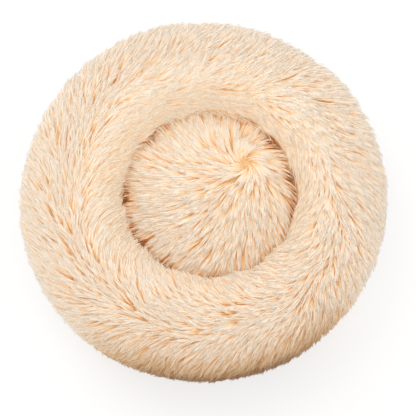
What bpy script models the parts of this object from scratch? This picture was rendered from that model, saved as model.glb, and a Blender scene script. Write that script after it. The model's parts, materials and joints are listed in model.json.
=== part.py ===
"""A round plush pet bed: a stuffed ring bolster round a domed cushion, on a base whose edge zips open.

Metres, +Z up. The bed stands on z = 0 with its middle on the Z axis. +Y is its back, where the zip is.
Every layer of the bolster is the same rounded section, set in or out along its normal, turned round the
Z axis and then settled: settled() moves all layers alike, so the gaps between them stay as they are.
"""

import math

import bmesh
import bpy
from mathutils import Matrix, Vector

MM = 0.001
DEGREE = math.pi / 180
QUARTER_TURN = 90 * DEGREE
HALF_TURN = 180 * DEGREE
FULL_TURN = 360 * DEGREE

# Overall sizes, over the pile as it lies
BED_DIAMETER = 600 * MM
BED_HEIGHT = 180 * MM
WELL_DIAMETER = 280 * MM
CUSHION_HEIGHT = 112 * MM

# Layers
PLUSH_DEPTH = 14 * MM
CUSHION_PLUSH_DEPTH = 12 * MM
LINER_THICKNESS = 0.8 * MM
LAYER_GAP = 0.5 * MM
SEAT_GAP = 0.3 * MM
CREASE_GAP = 3 * MM

# Base
BASE_CLOTH_THICKNESS = 1.2 * MM
DOT_DIAMETER = 8 * MM
DOT_HEIGHT = 1 * MM
FILM_THICKNESS = 0.4 * MM
DOT_PITCH = 52 * MM
DOT_SIDES = 8
DOT_FIELD_MARGIN = 18 * MM

# Section of the bolster and the cushion: how full a rounded corner is, and how finely it is cut
BOLSTER_FULLNESS = 2.3
CUSHION_FULLNESS = 2.6
AROUND = 48
COVER_SEGMENTS = 9
COVER_FACE_SEGMENTS = 14
DOME_SEGMENTS = 7
DOME_FACE_SEGMENTS = 10
UNDER_DOME_SEGMENTS = 2
RIM_SEGMENTS = 3
WELL_SEAM_ANGLE = 202 * DEGREE
LINER_SLIT_ANGLE = 236 * DEGREE
LINER_SLIT = 1.2 * MM

# Seam round the well
SEAM_TAPE_WIDTH = 15 * MM
SEAM_TAPE_THICKNESS = 0.8 * MM
SEAM_ROW_SPACING = 8 * MM
THREAD_DIAMETER = 0.7 * MM
THREAD_STEPS = 0

# How the soft bed settles
WELL_SHIFT_RIGHT = 9 * MM
WELL_SHIFT_BACK = 9 * MM
OUTLINE_WAVE = 2.2 * MM
OUTLINE_WAVE_COUNTS = (2, 3, 5)
OUTLINE_WAVE_SHARES = (1.0, 0.7, 0.4)
OUTLINE_WAVE_PHASES = (35 * DEGREE, 120 * DEGREE, 230 * DEGREE)
CREST_DIP = 5 * MM
CREST_DIPS = 2
CREST_PHASE = 57 * DEGREE
FURROW_ANGLES = (-105 * DEGREE, -45 * DEGREE, 52.5 * DEGREE)
FURROW_HALF_ANGLE = 8 * DEGREE
FURROW_DEPTH_SHARE = 0.075
# The combed pile's main waves: how deep, and how far each turns clockwise from the crest to an edge
BOLSTER_NAP_DEPTH = 8 * MM
CUSHION_NAP_DEPTH = 6 * MM
BOLSTER_NAP_TURN = 24 * DEGREE
CUSHION_NAP_TURN = 35 * DEGREE
NAP_SWEEP = 1.6
BOLSTER_NAP_FOLDS = 2
CUSHION_NAP_FOLDS = 1
GATHERS = 12
GATHER_DEPTH = 2.2 * MM
GATHER_REACH = 26 * MM

# Zip and edge tape, in the slanting strip between base cloth and plush
ZIP_LINE_ANGLE = -53.5 * DEGREE
ZIP_STANDOFF = 2.6 * MM
ZIP_START = 15 * DEGREE
ZIP_SEGMENTS = 20
TAPE_WIDTH = 12.5 * MM
TAPE_THICKNESS = 0.6 * MM
TAPE_LAP = 4 * MM
TAPE_SLOT = 2.4 * MM
BASE_EDGE_REACH = 8.5 * MM
EDGE_ROW_INSET = 2 * MM
COIL_DIAMETER = 1.8 * MM
COIL_STEPS = 2
STOP_LENGTH = 3 * MM
STOP_WIDTH = 7 * MM
STOP_HEIGHT = 2.2 * MM

# Slider
SLIDER_LENGTH = 12 * MM
SLIDER_WIDTH = 10 * MM
SLIDER_NOSE_SHARE = 0.7
SLIDER_PLATE = 1.2 * MM
SLIDER_RUN_GAP = 0.45 * MM
SLIDER_SIDE_GAP = 0.6 * MM
SLIDER_STOP_GAP = 0.5 * MM
BACK_PLATE = 0.8 * MM
BACK_PLATE_WIDTH = 7.6 * MM
POST_THICKNESS = 0.9 * MM
POST_LENGTH = 6 * MM
UNION_OVERLAP = 0.2 * MM
EDGE_ROUNDING = 0.25 * MM
BAIL_WIRE = 1.4 * MM
BAIL_RADIUS = 3 * MM
BAIL_LEG = 0.8 * MM
BAIL_POINTS = 9
BAIL_STEPS = 1

# Puller
PULLER_LENGTH = 18 * MM
PULLER_WIDTH = 6.4 * MM
PULLER_THICKNESS = 1.2 * MM
PULLER_TIP_SHARE = 0.72
PULLER_CORNER_SHARE = 0.25
PULLER_SLOT_WIDTH = 3.2 * MM
PULLER_SLOT_GAP = 0.4 * MM
PULLER_FLOOR_GAP = 0.6 * MM

MERGE_DISTANCE = 0.01 * MM
CUT_OVERRUN = 2 * MM
SHARP_ANGLE = 35 * DEGREE

# Sizes that follow from those above
BOLSTER_RADIUS = (BED_DIAMETER + WELL_DIAMETER) / 4
INSERT_HALF_WIDTH = (BED_DIAMETER - WELL_DIAMETER) / 4 - PLUSH_DEPTH - LAYER_GAP
BASE_TOP = DOT_HEIGHT + FILM_THICKNESS + SEAT_GAP + BASE_CLOTH_THICKNESS
INSERT_BOTTOM = BASE_TOP + LAYER_GAP
INSERT_TOP = BED_HEIGHT - PLUSH_DEPTH - LAYER_GAP
INSERT_HALF_HEIGHT = (INSERT_TOP - INSERT_BOTTOM) / 2
INSERT_MIDDLE = (INSERT_TOP + INSERT_BOTTOM) / 2
COVER_EDGE_ANGLE = ZIP_LINE_ANGLE + TAPE_WIDTH / INSERT_HALF_HEIGHT
BASE_EDGE_ANGLE = ZIP_LINE_ANGLE - BASE_EDGE_REACH / INSERT_HALF_HEIGHT
SEGMENT_ANGLE = FULL_TURN / AROUND


def steps(first, last, segments):
    """Evenly spaced values from first to last, both included."""
    return [first + (last - first) * index / segments for index in range(segments + 1)]


def smooth_rise(value, low, high):
    """0 below low, 1 above high, and an S-shaped rise between them."""
    share = min(1.0, max(0.0, (value - low) / (high - low)))
    return share * share * (3 - 2 * share)


def rounded_point(half_width, half_height, fullness, angle, outset):
    """A point of a rounded section about its middle, moved out along the section's normal."""
    cosine, sine = math.cos(angle), math.sin(angle)
    power = 2 / fullness
    across = math.copysign(abs(cosine) ** power, cosine) * half_width
    up = math.copysign(abs(sine) ** power, sine) * half_height
    normal = Vector((
        math.copysign(abs(cosine) ** (2 - power), cosine) / half_width,
        math.copysign(abs(sine) ** (2 - power), sine) / half_height,
    )).normalized()
    return Vector((across, up)) + normal * outset


BOLSTER_MIDDLE = Vector((BOLSTER_RADIUS, INSERT_MIDDLE))


def bolster_point(angle, outset):
    """Radius and height on the bolster's section; outset 0 is the outside of its liner."""
    point = rounded_point(INSERT_HALF_WIDTH, INSERT_HALF_HEIGHT, BOLSTER_FULLNESS, angle, outset)
    return point + BOLSTER_MIDDLE


WELL_SEAM = bolster_point(WELL_SEAM_ANGLE, LAYER_GAP + PLUSH_DEPTH)
CUSHION_RADIUS = WELL_SEAM.x - CREASE_GAP
SEAM_HEIGHT = WELL_SEAM.y
CUSHION_MIDDLE = Vector((0, SEAM_HEIGHT))
PAD_INSET = CUSHION_PLUSH_DEPTH + LAYER_GAP


def dome_point(angle, inset):
    """Radius and height on the cushion's upper side; inset 0 is the pile's surface."""
    point = rounded_point(
        CUSHION_RADIUS, CUSHION_HEIGHT - SEAM_HEIGHT, CUSHION_FULLNESS, angle, -inset)
    return point + CUSHION_MIDDLE


def under_dome_point(angle, inset):
    """Radius and height on the lower side of the cushion's insert; inset 0 is its liner's outside."""
    point = rounded_point(
        CUSHION_RADIUS - PAD_INSET, SEAM_HEIGHT - INSERT_BOTTOM, CUSHION_FULLNESS, angle, -inset)
    return point + CUSHION_MIDDLE


# The zip's strip: its slope runs from the base cloth's edge to the zip's line
STRIP_LOW = bolster_point(
    BASE_EDGE_ANGLE, LAYER_GAP + BASE_CLOTH_THICKNESS + SEAT_GAP + TAPE_THICKNESS / 2)
ZIP_CENTRE = bolster_point(ZIP_LINE_ANGLE, ZIP_STANDOFF)
ZIP_ACROSS = (ZIP_CENTRE - STRIP_LOW).normalized()
ZIP_OUT = Vector((ZIP_ACROSS.y, -ZIP_ACROSS.x))
STRIP_LOW_EDGE = (STRIP_LOW - ZIP_CENTRE).dot(ZIP_ACROSS) - TAPE_LAP
STRIP_HIGH_EDGE = (bolster_point(COVER_EDGE_ANGLE, LAYER_GAP) - ZIP_CENTRE).dot(ZIP_ACROSS) - SEAT_GAP
ZIP_END = ZIP_START + ZIP_SEGMENTS * SEGMENT_ANGLE
STRIP_END_GAP = SEAT_GAP / ZIP_CENTRE.x
COIL_ACROSS = (TAPE_SLOT + COIL_DIAMETER) / 2
COIL_OUT = TAPE_THICKNESS / 2 + SEAT_GAP + COIL_DIAMETER / 2
STOP_ANGLE = STOP_LENGTH / ZIP_CENTRE.x
SLIDER_ANGLE = ZIP_START + (STOP_LENGTH + SLIDER_STOP_GAP + SLIDER_LENGTH / 2) / ZIP_CENTRE.x
SLIDER_RADIUS = ZIP_CENTRE.x * (1 + math.cos(SEGMENT_ANGLE / 2)) / 2
PLATE_BOTTOM = COIL_OUT + COIL_DIAMETER / 2 + SLIDER_RUN_GAP
PLATE_TOP = PLATE_BOTTOM + SLIDER_PLATE
PIVOT_OUT = PLATE_TOP + SEAT_GAP + BAIL_LEG
PULLER_REACH = PULLER_LENGTH + PULLER_THICKNESS
PULLER_DROP = ZIP_CENTRE.y + ZIP_OUT.y * PIVOT_OUT - PULLER_FLOOR_GAP - PULLER_THICKNESS
# The puller droops until its tip nears the floor, or hangs straight out where the floor is out of reach
PULLER_DROOP = math.asin(min(1.0, PULLER_DROP / (PULLER_REACH * abs(ZIP_OUT.y))))


def settled(point):
    """Where a point of the evenly turned bed lies in the bed as it has settled."""
    radius = math.hypot(point.x, point.y)
    angle = math.atan2(point.y, point.x)
    height = point.z
    ring = smooth_rise(radius, CUSHION_RADIUS, BOLSTER_RADIUS - INSERT_HALF_WIDTH / 2)
    top = smooth_rise(height, INSERT_MIDDLE / 2, INSERT_TOP)
    crown = smooth_rise(height, INSERT_MIDDLE, INSERT_TOP) * ring
    furrow = sum(
        math.exp(-(math.remainder(angle - place, FULL_TURN) / FURROW_HALF_ANGLE) ** 2)
        for place in FURROW_ANGLES)
    squeeze = 1 - FURROW_DEPTH_SHARE * furrow * ring * top
    radius, height = BOLSTER_MIDDLE + (Vector((radius, height)) - BOLSTER_MIDDLE) * squeeze
    height -= CREST_DIP * crown * (1 + math.sin(CREST_DIPS * angle + CREST_PHASE)) / 2
    side = smooth_rise(point.z, INSERT_MIDDLE / 2, INSERT_MIDDLE) * smooth_rise(
        radius, BOLSTER_RADIUS, BED_DIAMETER / 2 - PLUSH_DEPTH)
    wave = sum(
        share * math.sin(count * angle + phase)
        for count, share, phase in zip(
            OUTLINE_WAVE_COUNTS, OUTLINE_WAVE_SHARES, OUTLINE_WAVE_PHASES))
    radius += OUTLINE_WAVE * wave * side
    nearness = math.exp(-((radius - WELL_SEAM.x) / GATHER_REACH) ** 2)
    above_base = smooth_rise(point.z, INSERT_BOTTOM, SEAM_HEIGHT)
    radius += GATHER_DEPTH * math.cos(GATHERS * angle) * nearness * above_base
    shift = 1 - smooth_rise(radius, WELL_SEAM.x, BOLSTER_RADIUS + INSERT_HALF_WIDTH / 3)
    return Vector((
        radius * math.cos(angle) + WELL_SHIFT_RIGHT * shift,
        radius * math.sin(angle) + WELL_SHIFT_BACK * shift,
        height,
    ))


def clear_scene():
    for item in list(bpy.data.objects):
        bpy.data.objects.remove(item, do_unlink=True)


def new_collection(name):
    collection = bpy.data.collections.new(name)
    bpy.context.scene.collection.children.link(collection)
    return collection


def make_material(name, colour, roughness, metallic=0.0):
    material = bpy.data.materials.new(name)
    material.use_nodes = True
    shader = material.node_tree.nodes["Principled BSDF"]
    shader.inputs["Base Color"].default_value = (*colour, 1.0)
    shader.inputs["Roughness"].default_value = roughness
    shader.inputs["Metallic"].default_value = metallic
    material.diffuse_color = (*colour, 1.0)
    return material


def add_mesh(name, builder, collection, material):
    """A new object from a finished bmesh, with its faces turned out and shaded smooth."""
    bmesh.ops.recalc_face_normals(builder, faces=builder.faces)
    mesh = bpy.data.meshes.new(name)
    builder.to_mesh(mesh)
    builder.free()
    mesh.shade_smooth()
    mesh.set_sharp_from_angle(angle=SHARP_ANGLE)
    mesh.materials.append(material)
    item = bpy.data.objects.new(name, mesh)
    collection.objects.link(item)
    return item


def spin_outline(builder, outline, closed, turn, segments):
    """Turns an outline of radius and height points round the Z axis."""
    corners = [builder.verts.new((radius, 0, height)) for radius, height in outline]
    edges = [builder.edges.new(pair) for pair in zip(corners, corners[1:])]
    if closed:
        edges.append(builder.edges.new((corners[-1], corners[0])))
    bmesh.ops.spin(
        builder, geom=corners + edges, cent=(0, 0, 0), axis=(0, 0, 1), dvec=(0, 0, 0),
        angle=turn, steps=segments)
    bmesh.ops.remove_doubles(builder, verts=builder.verts, dist=MERGE_DISTANCE)


def split_alike(builder, middle):
    """Splits each four-sided face along the diagonal that rises with both angles.

    Neighbouring layers then bend along the same lines when they settle, and stay clear of each other.
    """
    def angles(place):
        radius = math.hypot(place.x, place.y)
        return math.atan2(place.y, place.x), math.atan2(place.z - middle.y, radius - middle.x)

    for face in [face for face in builder.faces if len(face.verts) == 4]:
        around, section = angles(face.calc_center_median())
        ends = []
        for vertex in face.verts:
            vertex_around, vertex_section = angles(vertex.co)
            ahead = math.remainder(vertex_around - around, FULL_TURN)
            if ahead * math.remainder(vertex_section - section, FULL_TURN) > 0:
                ends.append(vertex)
        if len(ends) == 2 and not builder.edges.get(ends):
            bmesh.utils.face_split(face, *ends)


def turned(name, outline, collection, material, middle=None):
    """A full turn of an outline, settled if its section's middle is given.

    An outline that starts on the axis ends there too.
    """
    builder = bmesh.new()
    closed = outline[0][0] > MERGE_DISTANCE
    spin_outline(builder, outline, closed, FULL_TURN, AROUND)
    if middle:
        split_alike(builder, middle)
        for vertex in builder.verts:
            vertex.co = settled(vertex.co)
    return add_mesh(name, builder, collection, material)


def combed_face(point_at, angles, outset, depth, turn):
    """Rows for a combed cover: a place on a wave, one in the trough beside it, and how far it is turned."""
    rows = []
    for row, angle in enumerate(angles):
        share = math.sin(HALF_TURN * row / (len(angles) - 1))
        edge = min(angles) if angle <= QUARTER_TURN else max(angles)
        ahead = turn * ((angle - edge) / (QUARTER_TURN - edge)) ** NAP_SWEEP
        rows.append((point_at(angle, outset), point_at(angle, outset - depth * share), ahead))
    return rows


def ring_of_points(builder, places, ahead, columns):
    """Points round the Z axis that take the places of radius and height in turn."""
    made = []
    for column in range(columns):
        radius, height = places[column % len(places)]
        turn = column * FULL_TURN / columns + ahead
        made.append(builder.verts.new((radius * math.cos(turn), radius * math.sin(turn), height)))
    return made


def band_of_faces(builder, near, far):
    return [
        builder.faces.new((near[column - 1], near[column], far[column], far[column - 1]))
        for column in range(len(near))]


def combed(name, face, lining, folds, collection, material, middle):
    """A full turn of a cover, settled, with the combed pile's main waves on its outer face.

    The face has folds columns to each of the lining's, and every other one is a trough.
    """
    builder = bmesh.new()
    outer = [ring_of_points(builder, row[:2], row[2], AROUND * folds) for row in face]
    inner = [ring_of_points(builder, (place,), 0, AROUND) for place in lining]
    shown = []
    for near, far in zip(outer, outer[1:]):
        shown += band_of_faces(builder, near, far)
    for near, far in zip(inner, inner[1:]):
        band_of_faces(builder, near, far)
    ends = [(outer[-1], inner[0]), (outer[0], inner[-1])]
    if face[0][0].x < MERGE_DISTANCE:
        ends.pop()
    for wide, narrow in ends:
        for column in range(AROUND):
            edge = [wide[(column - 1) * folds + fold] for fold in range(folds + 1)]
            shown.append(builder.faces.new(edge + [narrow[column], narrow[column - 1]]))
    bmesh.ops.triangulate(builder, faces=shown)
    halfway = [
        (wide[column], wide[column - 1], wide[column + 1 - len(wide)])
        for wide, narrow in ends for column in range(len(wide)) if column % folds]
    bmesh.ops.remove_doubles(builder, verts=builder.verts, dist=MERGE_DISTANCE)
    split_alike(builder, middle)
    for vertex in builder.verts:
        vertex.co = settled(vertex.co)
    for vertex, before, after in halfway:
        vertex.co = (before.co + after.co) / 2
    return add_mesh(name, builder, collection, material)


def strip(name, outline, start, end, segments, collection, material):
    """Part of a turn of a closed outline, with its ends filled."""
    builder = bmesh.new()
    spin_outline(builder, outline, True, end - start, segments)
    open_edges = [edge for edge in builder.edges if edge.is_boundary]
    bmesh.ops.holes_fill(builder, edges=open_edges, sides=len(outline))
    bmesh.ops.rotate(builder, verts=builder.verts, matrix=Matrix.Rotation(start, 3, "Z"))
    return add_mesh(name, builder, collection, material)


def strip_point(across, out):
    """Radius and height of a place in the zip's strip."""
    return ZIP_CENTRE + ZIP_ACROSS * across + ZIP_OUT * out


def strip_section(low, high, inner, outer):
    """The four corners of a flat band in the zip's strip."""
    return [
        strip_point(low, inner), strip_point(high, inner),
        strip_point(high, outer), strip_point(low, outer),
    ]


def strip_frame(angle, radius):
    """A frame in the zip's strip: X along the zip, Y across it and up, Z out of the cover."""
    around = Vector((-math.sin(angle), math.cos(angle), 0))
    away = Vector((math.cos(angle), math.sin(angle), 0))
    across = away * ZIP_ACROSS.x + Vector((0, 0, ZIP_ACROSS.y))
    out = away * ZIP_OUT.x + Vector((0, 0, ZIP_OUT.y))
    place = away * radius + Vector((0, 0, ZIP_CENTRE.y))
    frame = Matrix((around, across, out)).transposed().to_4x4()
    frame.translation = place
    return frame


def wire(name, path, diameter, bevel_steps, cyclic, collection, material):
    """Round wire or thread along a path."""
    curve = bpy.data.curves.new(name, "CURVE")
    curve.dimensions = "3D"
    curve.bevel_depth = diameter / 2
    curve.bevel_resolution = bevel_steps
    curve.use_fill_caps = not cyclic
    spline = curve.splines.new("POLY")
    spline.points.add(len(path) - 1)
    spline.use_cyclic_u = cyclic
    for point, place in zip(spline.points, path):
        point.co = (*place, 1)
    curve.materials.append(material)
    item = bpy.data.objects.new(name, curve)
    collection.objects.link(item)
    return item


def turn_path(radius, height, start, turn, segments):
    """Places round the Z axis at the same steps as the turned pieces."""
    angles = steps(start, start + turn, segments)
    return [Vector((radius * math.cos(angle), radius * math.sin(angle), height)) for angle in angles]


def ring_path(radius, height):
    return turn_path(radius, height, 0, FULL_TURN, AROUND)[:-1]


def box(name, size, centre, collection, material):
    builder = bmesh.new()
    bmesh.ops.create_cube(builder, size=1)
    bmesh.ops.scale(builder, verts=builder.verts, vec=size)
    bmesh.ops.translate(builder, verts=builder.verts, vec=centre)
    return add_mesh(name, builder, collection, material)


def plate(name, outline, bottom, top, collection, material):
    """A flat outline raised to a plate with rounded edges, kept as a mesh so that it can be cut."""
    curve = bpy.data.curves.new(name, "CURVE")
    curve.dimensions = "2D"
    curve.fill_mode = "BOTH"
    curve.extrude = (top - bottom) / 2
    spline = curve.splines.new("POLY")
    spline.points.add(len(outline) - 1)
    spline.use_cyclic_u = True
    for point, place in zip(spline.points, outline):
        point.co = (*place, 0, 1)
    pattern = bpy.data.objects.new(name + "_outline", curve)
    collection.objects.link(pattern)
    bpy.context.view_layer.update()
    mesh = bpy.data.meshes.new_from_object(pattern.evaluated_get(bpy.context.evaluated_depsgraph_get()))
    bpy.data.objects.remove(pattern, do_unlink=True)
    builder = bmesh.new()
    builder.from_mesh(mesh)
    bpy.data.meshes.remove(mesh)
    bmesh.ops.remove_doubles(builder, verts=builder.verts, dist=MERGE_DISTANCE)
    bmesh.ops.dissolve_limit(
        builder, angle_limit=DEGREE, verts=builder.verts, edges=builder.edges)
    bmesh.ops.translate(builder, verts=builder.verts, vec=(0, 0, (bottom + top) / 2))
    return add_mesh(name, builder, collection, material)


def boolean(item, tool, operation):
    tool.hide_render = True
    tool.display_type = "WIRE"
    modifier = item.modifiers.new(operation.lower(), "BOOLEAN")
    modifier.operation = operation
    modifier.solver = "EXACT"
    modifier.object = tool


def bolster_angles(segments=COVER_SEGMENTS):
    """Section angles from the plush's lower edge over the top to the well's seam."""
    return steps(COVER_EDGE_ANGLE, WELL_SEAM_ANGLE, segments)


def insert_angles():
    """Section angles all round the bolster's insert, from its slit and back to it."""
    under = [LINER_SLIT_ANGLE, FULL_TURN - QUARTER_TURN]
    over = [angle + FULL_TURN for angle in bolster_angles()]
    return under + over + [LINER_SLIT_ANGLE + FULL_TURN]


def make_bolster(parts, plush, liner, filling):
    face = combed_face(
        bolster_point, bolster_angles(COVER_FACE_SEGMENTS), LAYER_GAP + PLUSH_DEPTH,
        BOLSTER_NAP_DEPTH, BOLSTER_NAP_TURN)
    inside = [bolster_point(angle, LAYER_GAP) for angle in reversed(bolster_angles())]
    combed("bolster_cover", face, inside, BOLSTER_NAP_FOLDS, parts, plush, BOLSTER_MIDDLE)

    slit = LINER_SLIT / INSERT_HALF_HEIGHT
    angles = insert_angles()
    angles[0] += slit / 2
    angles[-1] -= slit / 2
    outside = [bolster_point(angle, 0) for angle in angles]
    inside = [bolster_point(angle, -LINER_THICKNESS) for angle in reversed(angles)]
    turned("bolster_liner", outside + inside, parts, liner, BOLSTER_MIDDLE)

    core = [
        bolster_point(angle, -LINER_THICKNESS - LAYER_GAP) for angle in insert_angles()[:-1]]
    turned("bolster_filling", core, parts, filling, BOLSTER_MIDDLE)


def make_cushion(parts, plush, liner, filling):
    down = steps(QUARTER_TURN, 0, DOME_SEGMENTS)
    face = combed_face(
        lambda angle, outset: dome_point(angle, -outset), steps(QUARTER_TURN, 0, DOME_FACE_SEGMENTS),
        0, CUSHION_NAP_DEPTH, CUSHION_NAP_TURN)
    inside = [dome_point(angle, CUSHION_PLUSH_DEPTH) for angle in reversed(down)]
    combed("cushion_cover", face, inside, CUSHION_NAP_FOLDS, parts, plush, CUSHION_MIDDLE)

    seam = LAYER_GAP / 2 / (CUSHION_RADIUS - PAD_INSET)
    upper = steps(QUARTER_TURN, seam, DOME_SEGMENTS)
    lower = steps(-seam, -QUARTER_TURN, UNDER_DOME_SEGMENTS)
    top_panel = [dome_point(angle, PAD_INSET) for angle in upper]
    top_panel += [dome_point(angle, PAD_INSET + LINER_THICKNESS) for angle in reversed(upper)]
    under_panel = [under_dome_point(angle, LINER_THICKNESS) for angle in reversed(lower)]
    under_panel += [under_dome_point(angle, 0) for angle in lower]
    turned("cushion_liner_top", top_panel, parts, liner, CUSHION_MIDDLE)
    turned("cushion_liner_bottom", under_panel, parts, liner, CUSHION_MIDDLE)

    core_inset = LINER_THICKNESS + LAYER_GAP
    core = [dome_point(angle, PAD_INSET + core_inset) for angle in down]
    core += [
        under_dome_point(angle, core_inset)
        for angle in steps(0, -QUARTER_TURN, UNDER_DOME_SEGMENTS)[1:]]
    turned("cushion_filling", core, parts, filling, CUSHION_MIDDLE)


def make_well_seam(parts, tape, thread):
    top = SEAM_HEIGHT - SEAT_GAP - LAYER_GAP
    bottom = top - SEAM_TAPE_THICKNESS
    middle = WELL_SEAM.x - CREASE_GAP / 2
    low, high = middle - SEAM_TAPE_WIDTH / 2, middle + SEAM_TAPE_WIDTH / 2
    outline = [(low, bottom), (high, bottom), (high, top), (low, top)]
    turned("well_seam_tape", outline, parts, tape, WELL_SEAM)
    row_height = bottom - SEAT_GAP - THREAD_DIAMETER / 2
    half = SEAM_ROW_SPACING / 2
    rows = {"well_seam_stitching_inner": middle - half, "well_seam_stitching_outer": middle + half}
    for name, radius in rows.items():
        path = [settled(place) for place in ring_path(radius, row_height)]
        wire(name, path, THREAD_DIAMETER, THREAD_STEPS, True, parts, thread)


def make_base(parts, tools, cloth, rubber, tape, thread):
    rim = steps(-QUARTER_TURN, BASE_EDGE_ANGLE, RIM_SEGMENTS)
    above = [(0, BASE_TOP)] + [bolster_point(angle, LAYER_GAP) for angle in rim]
    below = [bolster_point(angle, LAYER_GAP + BASE_CLOTH_THICKNESS) for angle in reversed(rim)]
    below += [(0, BASE_TOP - BASE_CLOTH_THICKNESS)]
    turned("base_cloth", above + below, parts, cloth)

    film = [
        (0, DOT_HEIGHT + FILM_THICKNESS), (BOLSTER_RADIUS, DOT_HEIGHT + FILM_THICKNESS),
        (BOLSTER_RADIUS, DOT_HEIGHT), (0, DOT_HEIGHT)]
    layer = turned("antislip_layer", film, parts, rubber)
    builder = bmesh.new()
    row_step = DOT_PITCH * math.sqrt(3) / 2
    field = BOLSTER_RADIUS - DOT_FIELD_MARGIN
    depth = DOT_HEIGHT + FILM_THICKNESS / 2
    most = int(field / row_step)
    for row in range(-most, most + 1):
        for column in range(-most - 1, most + 2):
            place = Vector(((column + (row % 2) / 2) * DOT_PITCH, row * row_step, depth / 2))
            if place.xy.length > field:
                continue
            bmesh.ops.create_cone(
                builder, cap_ends=True, segments=DOT_SIDES, radius1=DOT_DIAMETER / 2,
                radius2=DOT_DIAMETER / 2, depth=depth, matrix=Matrix.Translation(place))
    boolean(layer, add_mesh("dots", builder, tools, rubber), "UNION")

    section = strip_section(STRIP_LOW_EDGE, STRIP_HIGH_EDGE, -TAPE_THICKNESS / 2, TAPE_THICKNESS / 2)
    strip(
        "base_edge_tape", section, ZIP_END + STRIP_END_GAP, FULL_TURN + ZIP_START - STRIP_END_GAP,
        AROUND - ZIP_SEGMENTS, parts, tape)
    out = TAPE_THICKNESS / 2 + SEAT_GAP + THREAD_DIAMETER / 2
    rows = {
        "base_edge_stitching_lower": strip_point(STRIP_LOW_EDGE + EDGE_ROW_INSET, out),
        "base_edge_stitching_upper": strip_point(STRIP_HIGH_EDGE - EDGE_ROW_INSET, out),
    }
    for name, row in rows.items():
        wire(name, ring_path(row.x, row.y), THREAD_DIAMETER, THREAD_STEPS, True, parts, thread)


def make_zip(parts, tape, coil, metal):
    half = TAPE_THICKNESS / 2
    sides = {
        "zip_tape_lower": (STRIP_LOW_EDGE, -TAPE_SLOT / 2),
        "zip_tape_upper": (TAPE_SLOT / 2, STRIP_HIGH_EDGE),
    }
    for name, (low, high) in sides.items():
        section = strip_section(low, high, -half, half)
        strip(name, section, ZIP_START, ZIP_END, ZIP_SEGMENTS, parts, tape)

    first = ZIP_START + STOP_ANGLE + STRIP_END_GAP
    last = ZIP_END - STOP_ANGLE - STRIP_END_GAP
    for name, across in (("zip_coil_lower", -COIL_ACROSS), ("zip_coil_upper", COIL_ACROSS)):
        centre = strip_point(across, COIL_OUT)
        whole = turn_path(centre.x, centre.y, ZIP_START, ZIP_END - ZIP_START, ZIP_SEGMENTS)
        ends = turn_path(centre.x, centre.y, first, last - first, 1)
        path = [ends[0]] + whole[1:-1] + [ends[1]]
        wire(name, path, COIL_DIAMETER, COIL_STEPS, False, parts, coil)

    low = half + SEAT_GAP
    single = (STOP_WIDTH - TAPE_SLOT) / 2
    stop_middle = STOP_LENGTH / 2
    across = (TAPE_SLOT + single) / 2
    for name, side in (("zip_top_stop_lower", -across), ("zip_top_stop_upper", across)):
        stop = box(
            name, (STOP_LENGTH, single, STOP_HEIGHT), (stop_middle, side, low + STOP_HEIGHT / 2),
            parts, metal)
        stop.matrix_world = strip_frame(ZIP_START, ZIP_CENTRE.x)
    stop = box(
        "zip_bottom_stop", (STOP_LENGTH, STOP_WIDTH, STOP_HEIGHT),
        (-stop_middle, 0, low + STOP_HEIGHT / 2), parts, metal)
    stop.matrix_world = strip_frame(ZIP_END, ZIP_CENTRE.x)


def make_slider(parts, tools, metal):
    """The slider: two plates joined by a post in the slot between the tapes, with side flanges."""
    axis = bpy.data.objects.new("zip_slide_axis", None)
    parts.objects.link(axis)

    back, front = -SLIDER_LENGTH / 2, SLIDER_LENGTH / 2
    wide, narrow = SLIDER_WIDTH / 2, SLIDER_WIDTH / 2 * SLIDER_NOSE_SHARE
    outline = [
        (back, -wide), (0, -wide), (front, -narrow), (front, narrow), (0, wide), (back, wide)]
    body = plate("zip_slider", outline, PLATE_BOTTOM, PLATE_TOP, parts, metal)
    rounding = body.modifiers.new("rounding", "BEVEL")
    rounding.width = EDGE_ROUNDING
    rounding.segments = 1
    rounding.limit_method = "ANGLE"

    flange_inside = COIL_ACROSS + COIL_DIAMETER / 2 + SLIDER_SIDE_GAP
    flange_bottom = TAPE_THICKNESS / 2 + SLIDER_RUN_GAP
    flange_top = PLATE_BOTTOM + UNION_OVERLAP
    flange_width = wide - EDGE_ROUNDING - flange_inside
    joined = []
    for side, name in ((-1, "flange_lower"), (1, "flange_upper")):
        size = (-back - EDGE_ROUNDING, flange_width, flange_top - flange_bottom)
        centre = (
            (back + EDGE_ROUNDING) / 2, side * (flange_inside + flange_width / 2),
            (flange_top + flange_bottom) / 2)
        joined.append(box(name, size, centre, tools, metal))

    back_plate_top = -TAPE_THICKNESS / 2 - SLIDER_RUN_GAP
    post_bottom = back_plate_top - UNION_OVERLAP
    size = (POST_LENGTH, POST_THICKNESS, flange_top - post_bottom)
    centre = (0, 0, (flange_top + post_bottom) / 2)
    joined.append(box("post", size, centre, tools, metal))
    size = (SLIDER_LENGTH - 2 * EDGE_ROUNDING, BACK_PLATE_WIDTH, BACK_PLATE)
    centre = (0, 0, back_plate_top - BACK_PLATE / 2)
    joined.append(box("back_plate", size, centre, tools, metal))

    frame = strip_frame(SLIDER_ANGLE, SLIDER_RADIUS)
    for item in [body] + joined:
        item.parent = axis
        item.matrix_local = frame
    for tool in joined:
        boolean(body, tool, "UNION")

    foot = PLATE_TOP + SEAT_GAP
    arch = [
        Vector((-BAIL_RADIUS * math.cos(angle), 0, PIVOT_OUT + BAIL_RADIUS * math.sin(angle)))
        for angle in steps(0, HALF_TURN, BAIL_POINTS - 1)]
    path = [Vector((-BAIL_RADIUS, 0, foot))] + arch + [Vector((BAIL_RADIUS, 0, foot))]
    bail = wire("zip_slider_bail", path, BAIL_WIRE, BAIL_STEPS, False, parts, metal)
    bail.parent = axis
    bail.matrix_local = frame
    return body


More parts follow.
